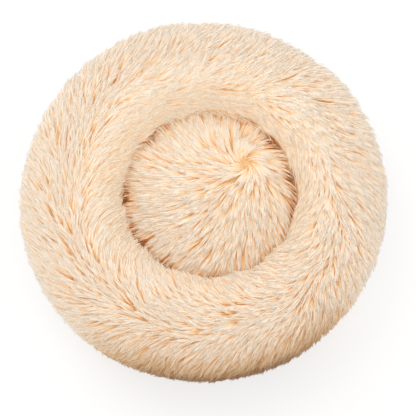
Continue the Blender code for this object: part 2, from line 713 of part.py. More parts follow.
def make_puller(parts, tools, slider, metal):
    """The puller lies along X from its hinge bar, which is in the bail, and droops to the floor."""
    bar = PULLER_THICKNESS / 2
    tip = bar + PULLER_LENGTH
    wide, narrow = PULLER_WIDTH / 2, PULLER_WIDTH / 2 * PULLER_TIP_SHARE
    corner = narrow * PULLER_CORNER_SHARE
    outline = [
        (-bar, -wide), (tip - corner, -narrow), (tip, -narrow + corner),
        (tip, narrow - corner), (tip - corner, narrow), (-bar, wide)]
    puller = plate("zip_puller", outline, -bar, bar, parts, metal)
    slot_end = BAIL_RADIUS + BAIL_WIRE / 2 + PULLER_SLOT_GAP
    size = (slot_end - bar, PULLER_SLOT_WIDTH, PULLER_THICKNESS + 2 * CUT_OVERRUN)
    slot = box("puller_slot", size, ((slot_end + bar) / 2, 0, 0), tools, metal)
    boolean(puller, slot, "DIFFERENCE")
    droop = Matrix.Translation((0, 0, PIVOT_OUT)) @ Matrix.Rotation(-PULLER_DROOP, 4, "Y")
    for item in (puller, slot):
        item.parent = slider
        item.matrix_local = droop


def main():
    clear_scene()
    parts = new_collection("round_pet_bed")
    tools = new_collection("round_pet_bed_cutters")
    plush = make_material("plush", (0.87, 0.68, 0.49), 0.95)
    liner = make_material("liner", (0.80, 0.79, 0.76), 0.9)
    filling = make_material("filling", (0.90, 0.90, 0.88), 1.0)
    cloth = make_material("base_cloth", (0.42, 0.35, 0.28), 0.7)
    rubber = make_material("rubber", (0.12, 0.10, 0.09), 0.6)
    tape = make_material("tape", (0.62, 0.50, 0.38), 0.85)
    thread = make_material("thread", (0.70, 0.58, 0.45), 0.8)
    coil = make_material("coil", (0.66, 0.55, 0.42), 0.4)
    metal = make_material("metal", (0.60, 0.57, 0.53), 0.3, 1.0)
    make_bolster(parts, plush, liner, filling)
    make_cushion(parts, plush, liner, filling)
    make_well_seam(parts, tape, thread)
    make_base(parts, tools, cloth, rubber, tape, thread)
    make_zip(parts, tape, coil, metal)
    slider = make_slider(parts, tools, metal)
    make_puller(parts, tools, slider, metal)


main()
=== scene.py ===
"""A round plush pet bed: its pile and backing, zip coils and finishes, and the floor, light and camera.

Metres, +Z up. The bed stands on z = 0 with its middle on the Z axis; +Y is its back.
"""

import json
import math

import bpy
import numpy as np
from bpy.props import FloatProperty, FloatVectorProperty, IntProperty, PointerProperty
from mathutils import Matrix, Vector


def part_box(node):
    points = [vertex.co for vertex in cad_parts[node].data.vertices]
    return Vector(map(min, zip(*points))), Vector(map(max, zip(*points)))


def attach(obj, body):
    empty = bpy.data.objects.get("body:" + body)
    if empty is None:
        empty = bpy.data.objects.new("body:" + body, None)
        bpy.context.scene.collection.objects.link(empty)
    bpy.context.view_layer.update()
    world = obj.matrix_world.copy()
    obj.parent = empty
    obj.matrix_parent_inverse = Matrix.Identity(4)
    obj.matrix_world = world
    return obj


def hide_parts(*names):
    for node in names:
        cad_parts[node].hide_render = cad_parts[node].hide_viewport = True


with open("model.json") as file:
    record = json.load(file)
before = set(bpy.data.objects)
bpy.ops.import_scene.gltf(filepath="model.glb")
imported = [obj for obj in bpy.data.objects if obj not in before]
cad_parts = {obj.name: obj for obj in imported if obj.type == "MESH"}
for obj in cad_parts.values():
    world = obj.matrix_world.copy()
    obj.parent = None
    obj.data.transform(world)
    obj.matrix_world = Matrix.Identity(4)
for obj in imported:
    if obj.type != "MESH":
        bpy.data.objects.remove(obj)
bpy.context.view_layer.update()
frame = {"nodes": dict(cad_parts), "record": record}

bl_info = {
    "name": "Round plush pet bed",
    "version": (1, 0, 0),
    "blender": (4, 5, 0),
    "location": "View3D > Sidebar > Pet bed",
    "description": "Builds the pile, seams, zip and finishes of a round plush pet bed on its CAD model",
    "category": "Object",
}

MM = 0.001
DEGREE = math.pi / 180
FULL_TURN = 2 * math.pi
BED = "bed"

# No direction is divided by a length below this one
SHORTEST = 1e-9

# How the soft bed settles, as in the part's source
SHIFT_OF_WELL = (9 * MM, 9 * MM)
OUTLINE_WAVE = 2.2 * MM
OUTLINE_WAVES = ((2, 1.0, 35 * DEGREE), (3, 0.7, 120 * DEGREE), (5, 0.4, 230 * DEGREE))
CREST_DIP = 5 * MM
CREST_DIPS = 2
CREST_PHASE = 57 * DEGREE
FURROWS = tuple((place * DEGREE, 8 * DEGREE, 1) for place in (-105, -45, 52.5))
FURROW_DEPTH_SHARE = 0.075
GATHERS = 12
GATHER_DEPTH = 2.2 * MM
GATHER_REACH = 26 * MM

# Angles round the bolster's section, from the outside over the top to the well
EDGE_ANGLE = -44.7 * DEGREE
HANG_ANGLE = -36 * DEGREE
CREST_ANGLE = 90 * DEGREE
SEAM_ANGLE = 202 * DEGREE

# Points along the sections that pile grows on
RING_STEPS = 200
HANG_STEPS = 40
BEND_STEPS = 20
SPREAD_STEPS = 10
DOME_STEPS = 160

# The knitted backing: points along its outline, steps round the bed, where its inner face lies on the ring,
# how thick it is on the cushion, and the gap below which points of its seam are one
RING_BACKING_STEPS = 40
CUSHION_BACKING_STEPS = 30
BACKING_TURN_STEPS = 128
RING_BACKING_INSIDE = 0.6 * MM
CUSHION_BACKING_THICKNESS = 1.6 * MM
WELD_GAP = 0.02 * MM

# Where roots stand: how far off its row each may be, in spacings, and where the rows start and end: on the
# ring above the crease's end and past the rim, on the cushion from the middle and short of its edge
ROOT_OFF_ROUND = 0.42
ROOT_OFF_ALONG = 0.45
RING_FIRST_ROW = 4 * MM
RING_LAST_ROW = 52 * MM
CUSHION_FIRST_ROW = 3 * MM
CUSHION_LAST_ROW = 6 * MM

# How unlike tufts are: shares of the lock's length, the lowest and highest lift, how much lower they lie on
# the cushion, and how much less unlike they are at the rim
RING_LENGTHS = (0.85, 1.12)
RING_LOWEST_LIFT = 4 * MM
RING_HIGHEST_OVER = 5 * MM
CUSHION_LENGTHS = (0.85, 1.15)
CUSHION_LIFT_SHARE = 0.85
CUSHION_LIFTS = (3 * MM, 14 * MM)
CALM_SHARE = 0.5

# Tufts are traced in steps, and their first steps give the straight line that they are stiffened towards
TRACE_STEPS = 8
HEADING_STEPS = 2

# One lock of pile: how far along it each ring of points is and how wide it is there, how many points a ring
# has, how narrow and wide locks are over their mean, and how far they roll, in radians
LOCK_STATIONS = np.array([0.0, 0.42, 0.78])
LOCK_TAPER = np.array([0.7, 1.0, 0.7])
LOCK_SIDES = 3
LOCK_WIDTHS = (0.65, 1.35)
LOCK_ROLL = 0.6

# How a tuft's locks lie: the share of it that a lock's heading is read over, how they draw together sideways,
# lengthways and in depth, and how unevenly they end on the floor
HEADING_REACH = 0.06
DRAW_POWER = 1.2
FORWARD_DRAW = 0.5
DEPTH_DRAW = 0.4
FLOOR_SCATTER = 2 * MM

# One lock's cell of the bake map: its left edge and width, the share that a side fills, its foot, height and
# tip, and the face at its root
CELL_LEFT, CELL_WIDTH = 0.06, 0.88
CELL_SIDE = 0.92
CELL_FOOT, CELL_HEIGHT, CELL_TIP = 0.1, 0.8, 0.96
CELL_ROOT_LOW, CELL_ROOT_HIGH = 0.02, 0.08

# How far light is missing between locks: at each corner of a ring of points, at the tip and in a buried lock,
# and how much less of the last reaches the tip
CORNER_SHADE = (0.0, 0.55, 0.55)
TIP_SHADE = 0.1
BURIED_SHADE = 1.3
TIP_RELIEF = 0.35

# How deep in its tuft a lock has to be for the crease's shade to start and be full, how much less deep where
# the piles part, and the share of the shade's reach that is fully dark
CREASE_BURIED = (0.40, 0.62)
CREASE_BURIED_LESS = 0.22
CREASE_CORE = 0.35

# Shares of the length from crest to rim between which these start and are full: the nap's fall, its calm, its
# lower lie and its swells
FALL_REACH = (0.7, 1.2)
CALM_REACH = (0.4, 1.0)
RIM_REACH = (0.5, 1.0)
SWELL_REACH = (0.3, 0.9)

# The same from crest to crease: the lower lie in the well, and its lean and sides
WELL_REACH = (0.3, 1.0)
WALL_REACH = (0.5, 1.0)

# Past the rim, the length over which roots draw in behind the hanging pile
HANG_REACH = 60 * MM

# The share of the gaps' reach at which they are full, and how much of the fringe's fill a parting takes
GAP_FULL = 0.5
FRINGE_PARTED = 0.9

# The nap's unevenness: seeds, the fine waves' size and strength, and how unlike single waves are in length
RING_SEED, RING_FINE_SEED, CUSHION_SEED = 11, 12, 21
FINE_WAVE, FINE_STRENGTH = 0.4, 0.5
CUSHION_WAVE = 0.6
WAVE_SPREAD = (0.7, 1.4)
WAVES = 7

# Points in one turn of a zip coil, and the pieces that the ring's and the cushion's pile are split into
COIL_POINTS = 7
RING_SECTORS = 11
CUSHION_SECTORS = 3

# How the ring's nap is combed: its turn out of the clockwise way, in degrees, at five places from
# the well to the rim, for each hour of a clock laid on the bed, from 3 o'clock against the clock
COMB_PLACES = (-70 * MM, -30 * MM, 0, 30 * MM, 60 * MM)
COMB_TURNS = (
    (-15, 5, 30, 42, 52),
    (5, 12, 20, 50, 58),
    (-5, 50, 58, 65, 62),
    (12, 34, 35, 44, 50),
    (0, 2, 15, 24, 30),
    (-30, -6, 7, 32, 50),
    (-56, -24, 10, 32, 50),
    (-70, -45, -5, 10, 25),
    (-50, -28, 2, 30, 62),
    (-48, -20, 0, 34, 55),
    (-50, -42, 0, 15, 34),
    (-28, -10, -4, 36, 62),
)

# Where the two piles part in the crease round the cushion: place, half-angle and how far they part
CREASE_PARTINGS = (
    (-6 * DEGREE, 6 * DEGREE, 0.6), (12 * DEGREE, 8 * DEGREE, 0.7), (40 * DEGREE, 9 * DEGREE, 0.6),
    (134 * DEGREE, 6 * DEGREE, 0.5), (181 * DEGREE, 6 * DEGREE, 1.0), (214 * DEGREE, 8 * DEGREE, 1.0),
    (240 * DEGREE, 9 * DEGREE, 0.7), (272 * DEGREE, 11 * DEGREE, 0.6),
)

# Where the pile stands fuller on the ring's side: place, half-angle and how much
RIM_SWELLS = (
    (46 * DEGREE, 30 * DEGREE, 6.5 * MM), (100 * DEGREE, 30 * DEGREE, 3.5 * MM),
    (145 * DEGREE, 26 * DEGREE, 3 * MM), (0 * DEGREE, 24 * DEGREE, 2 * MM),
    (-58 * DEGREE, 26 * DEGREE, 3.5 * MM),
)

# The ring's steep front shades itself from the first of these to the second, as cosines from its middle, and
# the well's own shade gives way to it between these radii
FRONT_REACH = (0.58, 1.0)
OUTSIDE_REACH = (200 * MM, 230 * MM)

# Where a ramp of missing light has its colours for a third and for half, and a lock its shaft's and body's
THIRD_PLACE, HALF_PLACE = 0.3, 0.6
SHAFT_PLACE, BODY_PLACE = 0.28, 0.62

# Between the threads of the base cloth
WEAVE_PITCH = 0.9 * MM

# How strong every bump is, and how much a noisy finish's roughness varies
BUMP_STRENGTH = 0.8
ROUGHNESS_SPREAD = 0.3

# The stage: the floor, how the sky's light fades towards low in front, and the two lamps
FLOOR_SIZE = 30
SKY_TILT = 0.8
SKY_FADE = {"From Min": -0.9, "From Max": 0.4, "To Min": 0.40, "To Max": 1.0}
KEY_PLACE, KEY_SIZE = (-1.0, 1.1, 2.4), 1.8
FILL_PLACE, FILL_SIZE = (1.6, -1.2, 2.0), 2.0
SENSOR_WIDTH = 36
CLIP_END = 50


def smooth_rise(value, low, high):
    """0 below low, 1 above high, and an S-shaped rise between them."""
    share = np.clip((value - low) / (high - low), 0, 1)
    return share * share * (3 - 2 * share)


def rise_over(value, length, shares):
    """The same rise between two shares of a length."""
    return smooth_rise(value, shares[0] * length, shares[1] * length)


def bumps_round(angle, bumps):
    """The sum of soft bumps, each with a place round the bed, a half-angle and a height."""
    total = np.zeros_like(angle)
    for place, half_angle, height in bumps:
        away = (angle - place + math.pi) % FULL_TURN - math.pi
        total = total + height * np.exp(-(away / half_angle) ** 2)
    return total


def unit(vectors):
    """The same directions with length 1."""
    return vectors / np.maximum(np.linalg.norm(vectors, axis=-1, keepdims=True), SHORTEST)


def rounded_section(half_width, half_height, fullness, angles, outset):
    """Points of a rounded section about its middle, moved out along its normals, and the normals."""
    cosine, sine = np.cos(angles), np.sin(angles)
    power = 2 / fullness
    points = np.stack([
        np.sign(cosine) * np.abs(cosine) ** power * half_width,
        np.sign(sine) * np.abs(sine) ** power * half_height], axis=-1)
    normals = np.stack([
        np.sign(cosine) * np.abs(cosine) ** (2 - power) / half_width,
        np.sign(sine) * np.abs(sine) ** (2 - power) / half_height], axis=-1)
    normals = unit(normals)
    return points + normals * outset, normals


class BedShape:
    """The sections of the bolster and the cushion, and how the bed settles."""

    def __init__(self, sizes):
        self.ring_radius = (sizes.bed_diameter + sizes.well_diameter) / 4
        self.ring_half_width = (sizes.bed_diameter - sizes.well_diameter) / 4 - sizes.pile_depth
        self.bottom = sizes.insert_bottom
        self.top = sizes.bed_height - sizes.pile_depth
        self.ring_half_height = (self.top - self.bottom) / 2
        self.middle = (self.top + self.bottom) / 2
        self.ring_fullness = sizes.ring_fullness
        self.outer_radius = sizes.bed_diameter / 2
        self.pile_depth = sizes.pile_depth
        seam, _ = self.ring_section(np.array([SEAM_ANGLE]), sizes.pile_depth)
        self.seam_radius, self.seam_height = seam[0]
        self.cushion_radius = self.seam_radius - sizes.crease_gap
        self.cushion_half_height = sizes.cushion_height - self.seam_height
        self.cushion_fullness = sizes.cushion_fullness

    def ring_section(self, angles, outset):
        """Radius and height on the bolster's section; outset 0 is the outside of its stuffed bag."""
        points, normals = rounded_section(
            self.ring_half_width, self.ring_half_height, self.ring_fullness, angles, outset)
        return points + (self.ring_radius, self.middle), normals

    def cushion_section(self, angles, inset):
        """Radius and height on the cushion's dome; inset 0 is the surface of its pile."""
        points, normals = rounded_section(
            self.cushion_radius, self.cushion_half_height, self.cushion_fullness, angles, -inset)
        return points + (0, self.seam_height), normals

    def settled(self, places):
        """Where places of the evenly turned bed lie in the bed as it has settled."""
        x, y, start_height = places[..., 0], places[..., 1], places[..., 2]
        radius, angle, height = np.hypot(x, y), np.arctan2(y, x), start_height
        ring = smooth_rise(radius, self.cushion_radius, self.ring_radius - self.ring_half_width / 2)
        top = smooth_rise(height, self.middle / 2, self.top)
        crown = smooth_rise(height, self.middle, self.top) * ring
        squeeze = 1 - FURROW_DEPTH_SHARE * bumps_round(angle, FURROWS) * ring * top
        radius = self.ring_radius + (radius - self.ring_radius) * squeeze
        height = self.middle + (height - self.middle) * squeeze
        height = height - CREST_DIP * crown * (1 + np.sin(CREST_DIPS * angle + CREST_PHASE)) / 2
        side = smooth_rise(start_height, self.middle / 2, self.middle) * smooth_rise(
            radius, self.ring_radius, self.outer_radius - self.pile_depth)
        wave = 0
        for count, share, phase in OUTLINE_WAVES:
            wave = wave + share * np.sin(count * angle + phase)
        radius = radius + OUTLINE_WAVE * wave * side
        nearness = np.exp(-((radius - self.seam_radius) / GATHER_REACH) ** 2)
        above_base = smooth_rise(start_height, self.bottom, self.seam_height)
        radius = radius + GATHER_DEPTH * np.cos(GATHERS * angle) * nearness * above_base
        shift = 1 - smooth_rise(radius, self.seam_radius, self.ring_radius + self.ring_half_width / 3)
        return np.stack([
            radius * np.cos(angle) + SHIFT_OF_WELL[0] * shift,
            radius * np.sin(angle) + SHIFT_OF_WELL[1] * shift,
            height], axis=-1)


class Profile:
    """A section that pile grows on, read by the length along it."""

    def __init__(self, points, normals, zero):
        gaps = np.linalg.norm(np.diff(points, axis=0), axis=1)
        length = np.concatenate([[0], np.cumsum(gaps)])
        self.length = length - length[zero]
        self.points, self.normals = points, normals

    def read(self, length, table):
        return np.stack([
            np.interp(length, self.length, table[:, 0]),
            np.interp(length, self.length, table[:, 1])], axis=-1)

    def at(self, length):
        return self.read(length, self.points), unit(self.read(length, self.normals))


def ring_profile(shape, pile):
    """The bolster's section from the crease up over the crest, down the side and out along the floor."""
    angles = np.linspace(SEAM_ANGLE, HANG_ANGLE, RING_STEPS)
    points, normals = shape.ring_section(angles, pile.backing_outset)
    crest = int(np.argmin(np.abs(angles - CREST_ANGLE)))
    radius, height = points[-1]
    bend = pile.floor_bend
    down = np.linspace(0, 1, HANG_STEPS)[1:, None]
    hang = np.array([radius, height]) + down * np.array([0, bend - height])
    turn = np.linspace(0, math.pi / 2, BEND_STEPS)[1:]
    foot = np.stack([radius + bend * (1 - np.cos(turn)), bend * (1 - np.sin(turn))], axis=-1)
    foot[:, 1] += pile.floor_gap
    spread = np.linspace(0, pile.floor_spread, SPREAD_STEPS)[1:, None] * (1, 0) + foot[-1]
    points = np.concatenate([points, hang, foot, spread])
    normals = np.concatenate([
        normals, np.tile([1.0, 0.0], (len(hang), 1)),
        np.stack([np.cos(turn), np.sin(turn)], axis=-1), np.tile([0.0, 1.0], (len(spread), 1))])
    return Profile(points, normals, crest)


def cushion_profile(shape, pile):
    """The cushion's section from its middle over the rim into the crease."""
    angles = np.linspace(CREST_ANGLE, 0, DOME_STEPS)
    points, normals = shape.cushion_section(angles, pile.cushion_backing_inset)
    points[0, 0] = 0
    end = points[-1] - (0, pile.crease_drop)
    return Profile(np.vstack([points, end]), np.vstack([normals, normals[-1]]), 0)


def turned(angle, section):
    """Places or directions in space from an angle round the bed and those on a section."""
    return np.stack([
        section[..., 0] * np.cos(angle), section[..., 0] * np.sin(angle), section[..., 1]], axis=-1)


def soft_noise(places, wavelength, seed):
    """Smooth noise of about -1 to 1 over places, the same each time."""
    rng = np.random.default_rng(seed)
    total = np.zeros(places.shape[:-1])
    for _ in range(WAVES):
        way = rng.normal(size=3)
        way *= rng.uniform(*WAVE_SPREAD) * FULL_TURN / wavelength / np.linalg.norm(way)
        total += np.sin(places @ way + rng.uniform(0, FULL_TURN))
    return total / math.sqrt(WAVES)


def scattered_rows(profile, first, last, spacing, rng):
    """Roots at even spacing over a turned profile, each a little off its row."""
    angles, lengths = [], []
    for length in np.arange(first, last, spacing):
        radius = max(profile.at(length)[0][0], spacing)
        count = max(3, int(round(FULL_TURN * radius / spacing)))
        step = FULL_TURN / count
        turn = np.arange(count) * step + rng.uniform(0, step)
        angles.append(turn + rng.uniform(-ROOT_OFF_ROUND, ROOT_OFF_ROUND, count) * step)
        lengths.append(length + rng.uniform(-ROOT_OFF_ALONG, ROOT_OFF_ALONG, count) * spacing)
    return np.concatenate(angles), np.concatenate(lengths)


def combed_turn(angle, length):
    """The nap's turn, read between the hours and the places that it was combed at."""
    turns = np.array(COMB_TURNS) * DEGREE
    hours, places = turns.shape
    hour = (angle % FULL_TURN) / FULL_TURN * hours
    before = np.floor(hour).astype(int) % hours
    part = smooth_rise(hour - np.floor(hour), 0, 1)
    across = np.interp(length, COMB_PLACES, np.arange(places))
    inner = np.minimum(across.astype(int), places - 2)
    share = across - inner

    def at_hour(row):
        return turns[row, inner] * (1 - share) + turns[row, inner + 1] * share

    return at_hour(before) * (1 - part) + at_hour((before + 1) % hours) * part


def ring_comb(pile, angle, length, places, tuft_turn):
    """How the bolster's pile lies: shares along the clockwise turn and along the fall from the crest."""
    fan = combed_turn(angle, length)
    fan = fan + (pile.fall - fan) * rise_over(length, pile.rim_length, FALL_REACH)
    coarse = soft_noise(places, pile.comb_wave, RING_SEED)
    fine = soft_noise(places, FINE_WAVE * pile.comb_wave, RING_FINE_SEED)
    fan = fan + pile.comb_noise * (coarse + FINE_STRENGTH * fine) + tuft_turn
    return np.cos(fan), np.sin(fan)


def crease_parting(angle):
    """How far the two piles part in the crease at each angle round the well."""
    return np.clip(bumps_round(angle, CREASE_PARTINGS), 0, 1)


def from_well(places):
    """Places in plan, radius too, from the middle of the well."""
    x, y = places[..., 0] - SHIFT_OF_WELL[0], places[..., 1] - SHIFT_OF_WELL[1]
    return x, y, np.hypot(x, y)


def outside_gaps(shape, pile, tips, rng):
    """Which tufts stay: some that end in the crease are left out where the piles part."""
    x, y, radius = from_well(tips)
    near = smooth_rise(
        radius, shape.seam_radius - pile.gap_reach, shape.seam_radius - GAP_FULL * pile.gap_reach)
    return rng.uniform(0, 1, len(tips)) > pile.gap_share * near * crease_parting(np.arctan2(y, x))


def ring_lowering(pile, angle, length):
    """How much lower the ring's pile lies at each place than on the crest."""
    lower = pile.lift_at_rim * rise_over(length, pile.rim_length, RIM_REACH)
    lower = lower + pile.lift_at_crease * rise_over(-length, pile.crease_length, WELL_REACH)
    wall = pile.crease_lean * np.cos(angle) + pile.crease_sides * np.cos(angle) ** 2
    lower = lower + wall * rise_over(-length, pile.crease_length, WALL_REACH)
    return lower - bumps_round(angle, RIM_SWELLS) * rise_over(length, pile.rim_length, SWELL_REACH)


def trace_ring(shape, pile, profile, angle, length, lock_length, lift, tuft_turn):
    """Runs each tuft over the bolster and gives its points and the surface's normals there."""
    step = lock_length / TRACE_STEPS
    inset = pile.hang_inset * smooth_rise(length, pile.rim_length, pile.rim_length + HANG_REACH)
    points, normals = [], []
    for index in range(TRACE_STEPS + 1):
        rise = 1 - (1 - index / TRACE_STEPS) ** pile.rise_power
        height = -inset + (inset + lift - ring_lowering(pile, angle, length)) * rise
        section, normal = profile.at(length)
        place = shape.settled(turned(angle, section + normal * height[:, None]))
        points.append(place)
        normals.append(turned(angle, normal))
        along, fall = ring_comb(pile, angle, length, place, tuft_turn)
        angle = angle - along * step / np.maximum(section[:, 0], 20 * MM)
        length = length + fall * step
    return np.stack(points, axis=1), np.stack(normals, axis=1)


def whorl_roots(pile, profile, rng):
    """More roots close round the whorl, so that crossing locks hide its middle."""
    spread = np.sqrt(rng.uniform(0, 1, pile.whorl_tufts)) * pile.whorl_radius
    turn = rng.uniform(0, FULL_TURN, pile.whorl_tufts)
    x = pile.whorl_place[0] - SHIFT_OF_WELL[0] + spread * np.cos(turn)
    y = pile.whorl_place[1] - SHIFT_OF_WELL[1] + spread * np.sin(turn)
    return np.arctan2(y, x), np.interp(np.hypot(x, y), profile.points[:-1, 0], profile.length[:-1])


def cushion_comb(pile, places, tuft_turn):
    """How the cushion's pile lies, as a direction in plan: away from the whorl, turned clockwise."""
    away = places[:, :2] - np.array(pile.whorl_place)
    distance = np.linalg.norm(away, axis=1, keepdims=True)
    away = away / np.maximum(distance, SHORTEST)
    turn = pile.whorl_turn + pile.whorl_turn_behind * away[:, 1]
    turn = turn + pile.whorl_twist * np.exp(-distance[:, 0] / pile.whorl_reach)
    wander = soft_noise(places, CUSHION_WAVE * pile.comb_wave, CUSHION_SEED)
    turn = turn + pile.comb_noise * wander + tuft_turn
    cosine, sine = np.cos(turn), np.sin(turn)
    return np.stack([
        away[:, 0] * cosine + away[:, 1] * sine, away[:, 1] * cosine - away[:, 0] * sine], axis=-1)


def trace_cushion(shape, pile, profile, angle, length, lock_length, lift, tuft_turn):
    """Runs each tuft over the cushion's dome."""
    step = lock_length / TRACE_STEPS
    points, normals = [], []
    flat = np.stack([length * np.cos(angle), length * np.sin(angle)], axis=-1)
    for index in range(TRACE_STEPS + 1):
        rise = 1 - (1 - index / TRACE_STEPS) ** pile.rise_power
        length = np.linalg.norm(flat, axis=1)
        angle = np.arctan2(flat[:, 1], flat[:, 0])
        section, normal = profile.at(length)
        rim = smooth_rise(section[:, 0], shape.cushion_radius - pile.fringe_reach, shape.cushion_radius)
        fill = pile.fringe_fill * rim * (1 - FRINGE_PARTED * crease_parting(angle))
        place = shape.settled(turned(angle, section + normal * ((lift + fill) * rise)[:, None]))
        points.append(place)
        normals.append(turned(angle, normal))
        way = cushion_comb(pile, place, tuft_turn)
        radial = np.stack([np.cos(angle), np.sin(angle)], axis=-1)
        around = np.stack([-np.sin(angle), np.cos(angle)], axis=-1)
        out = np.sum(way * radial, axis=1, keepdims=True)
        side = np.sum(way * around, axis=1, keepdims=True)
        stretch = (np.maximum(length, MM) / np.maximum(section[:, 0], MM))[:, None]
        flat = flat + step[:, None] * (radial * out + around * side * stretch)
    return np.stack(points, axis=1), np.stack(normals, axis=1)


def stiffened(points, stiffness):
    """Pulls each tuft part of the way from the surface towards the straight line that it starts on."""
    share = np.linspace(0, 1, points.shape[1])[None, :, None]
    start = points[:, :1]
    heading = points[:, HEADING_STEPS:HEADING_STEPS + 1] - start
    straight = start + heading * share * (points.shape[1] - 1) / HEADING_STEPS
    return points + (straight - points) * stiffness * share


def read_along(table, shares):
    """Values of each row's own polyline at shares 0 to 1 of its length."""
    place = shares * (table.shape[1] - 1)
    low = np.clip(place.astype(int), 0, table.shape[1] - 2)
    part = (place - low)[..., None]
    rows = np.arange(len(table))[:, None]
    return table[rows, low] * (1 - part) + table[rows, low + 1] * part


def lock_rings(centre, width, depth):
    """A ring of points across a lock at each place along it, from its two half-axes there."""
    corners = []
    for corner in range(LOCK_SIDES):
        angle = math.pi / 2 + corner * FULL_TURN / LOCK_SIDES
        corners.append(centre + width * math.cos(angle) + depth * math.sin(angle))
    return np.stack(corners, axis=2)


def grow_locks(points, normals, pile, scale, count, lock_width, rng):
    """Splits each tuft into locks that part at the root and draw together at the tip.

    Gives each lock's rings of points, its tip, and the shares that its colour reads.
    """
    total = len(points) * count
    tuft = np.repeat(np.arange(len(points)), count)
    part_length = rng.uniform(pile.shortest_lock, 1.0, total)
    stations = np.concatenate([LOCK_STATIONS, [1.0]])
    shares = part_length[:, None] * stations[None, :]
    centre = read_along(points[tuft], shares)
    normal = unit(read_along(normals[tuft], shares))
    ahead = unit(
        read_along(points[tuft], np.clip(shares + HEADING_REACH, 0, 1))
        - read_along(points[tuft], np.clip(shares - HEADING_REACH, 0, 1)))
    across = unit(np.cross(ahead, normal))
    normal = np.cross(across, ahead)
    disc = np.sqrt(rng.uniform(0, 1, total))
    turn = rng.uniform(0, FULL_TURN, total)
    side = (disc * np.cos(turn) * pile.tuft_radius * scale)[:, None]
    forward = (disc * np.sin(turn) * pile.tuft_radius * scale)[:, None]
    deep = (rng.uniform(0, 1, total) * pile.tuft_thickness * scale)[:, None]
    draw = 1 - pile.drawn_together * stations[None, :] ** DRAW_POWER
    bow = rng.normal(0, pile.bow, total)[:, None] * (stations * (1 - stations) * 4)[None, :]
    stray = rng.normal(0, pile.stray, total)[:, None] * (stations ** 2)[None, :]
    flick = rng.normal(0, pile.flick, total)[:, None] * (stations ** 2)[None, :]
    centre = centre + across * (side * draw + bow + stray)[..., None]
    centre = centre + ahead * (forward * (1 - FORWARD_DRAW * stations[None, :]))[..., None]
    centre = centre + normal * (flick - deep * (1 - DEPTH_DRAW * stations[None, :]))[..., None]
    floor = pile.floor_gap + rng.uniform(0, FLOOR_SCATTER, total)[:, None]
    centre[..., 2] = np.maximum(centre[..., 2], floor)
    roll = rng.uniform(-LOCK_ROLL, LOCK_ROLL, total)[:, None, None]
    width = (across * np.cos(roll) + normal * np.sin(roll))[:, :-1]
    depth = (normal * np.cos(roll) - across * np.sin(roll))[:, :-1]
    half = (lock_width / 2 * rng.uniform(*LOCK_WIDTHS, total)[:, None] * LOCK_TAPER[None, :])[..., None]
    rings = lock_rings(centre[:, :-1], width * half, depth * half * pile.lock_flatness)
    own = rng.uniform(0, 1, total)
    tuft_own = np.repeat(rng.uniform(0, 1, len(points)), count)
    buried = (0.5 * np.abs(side[:, 0]) / pile.tuft_radius + 0.5 * deep[:, 0] / pile.tuft_thickness) / scale
    return rings, centre[:, -1], own, tuft_own, buried


def lock_pattern():
    """The faces of one lock and where each of their corners lies in the lock's cell of the bake map."""
    sides, rings = LOCK_SIDES, len(LOCK_STATIONS)
    faces, spots = [], []
    heights = list(CELL_FOOT + CELL_HEIGHT * LOCK_STATIONS)
    for side in range(sides):
        after = (side + 1) % sides
        u_low = CELL_LEFT + CELL_WIDTH * side / sides
        u_high = CELL_LEFT + CELL_WIDTH * (side + CELL_SIDE) / sides
        for ring in range(rings - 1):
            faces.append((
                ring * sides + side, (ring + 1) * sides + side,
                (ring + 1) * sides + after, ring * sides + after))
            low, high = heights[ring], heights[ring + 1]
            spots += [(u_low, low), (u_low, high), (u_high, high), (u_high, low)]
        last = (rings - 1) * sides
        faces.append((last + side, rings * sides, last + after))
        spots += [(u_low, heights[-1]), ((u_low + u_high) / 2, CELL_TIP), (u_high, heights[-1])]
    faces.append(tuple(range(sides)))
    spots += [
        (CELL_LEFT, CELL_ROOT_LOW), (CELL_LEFT + CELL_WIDTH, CELL_ROOT_LOW),
        (CELL_LEFT + CELL_WIDTH / 2, CELL_ROOT_HIGH)]
    return faces, np.array(spots)


def crease_shade(pile, places, buried):
    """How little light reaches the buried locks in the crease round the cushion, 0 to 1."""
    x, y, radius = from_well(places)
    away = np.abs(radius - pile.crease_radius - pile.crease_shift * x / np.maximum(radius, MM))
    near = 1 - smooth_rise(away, CREASE_CORE * pile.crease_shade, pile.crease_shade)
    deep = 1 - smooth_rise(places[..., 2], pile.crease_bottom, pile.crease_top)
    parted = crease_parting(np.arctan2(y, x))
    starts, full = (place - CREASE_BURIED_LESS * parted for place in CREASE_BURIED)
    hidden = smooth_rise(buried[:, None], starts, full)
    return near * deep * hidden * (pile.crease_all_round + (1 - pile.crease_all_round) * parted)


def ring_shade(pile, places):
    """How little light reaches the roots on the ring's steep front and on the well's wall, 0 to 1."""
    x, y, height = places[..., 0], places[..., 1], places[..., 2]
    lean = pile.shade_turn
    facing = (math.sin(lean) * x - math.cos(lean) * y) / np.maximum(np.hypot(x, y), MM)
    low = 1 - smooth_rise(height, pile.shade_bottom, pile.shade_top)
    front = low * smooth_rise(facing, *FRONT_REACH)
    wall = 1 - smooth_rise(from_well(places)[2], *pile.wall_shade_reach)
    outside = smooth_rise(np.hypot(x, y), *OUTSIDE_REACH)
    return front * outside + pile.wall_shade * wall * (1 - outside)


def no_shade(pile, places):
    """The same for pile that shades nothing."""
    return np.zeros(places.shape[:-1])


def well_painted_light(pile, places):
    """Painted light inside the well, 0 to 1: it stands in for the light that the pale pile throws about, most
    at the back of its wall.
    """
    _, y, radius = from_well(places)
    away = np.maximum(radius, MM)
    wall = (0.5 + 0.5 * smooth_rise(away, *pile.fill_rise)) * (1 - smooth_rise(away, *pile.fill_fall))
    return wall * (pile.fill_in_front + (1 - pile.fill_in_front) * smooth_rise(y / away, -1, 1))


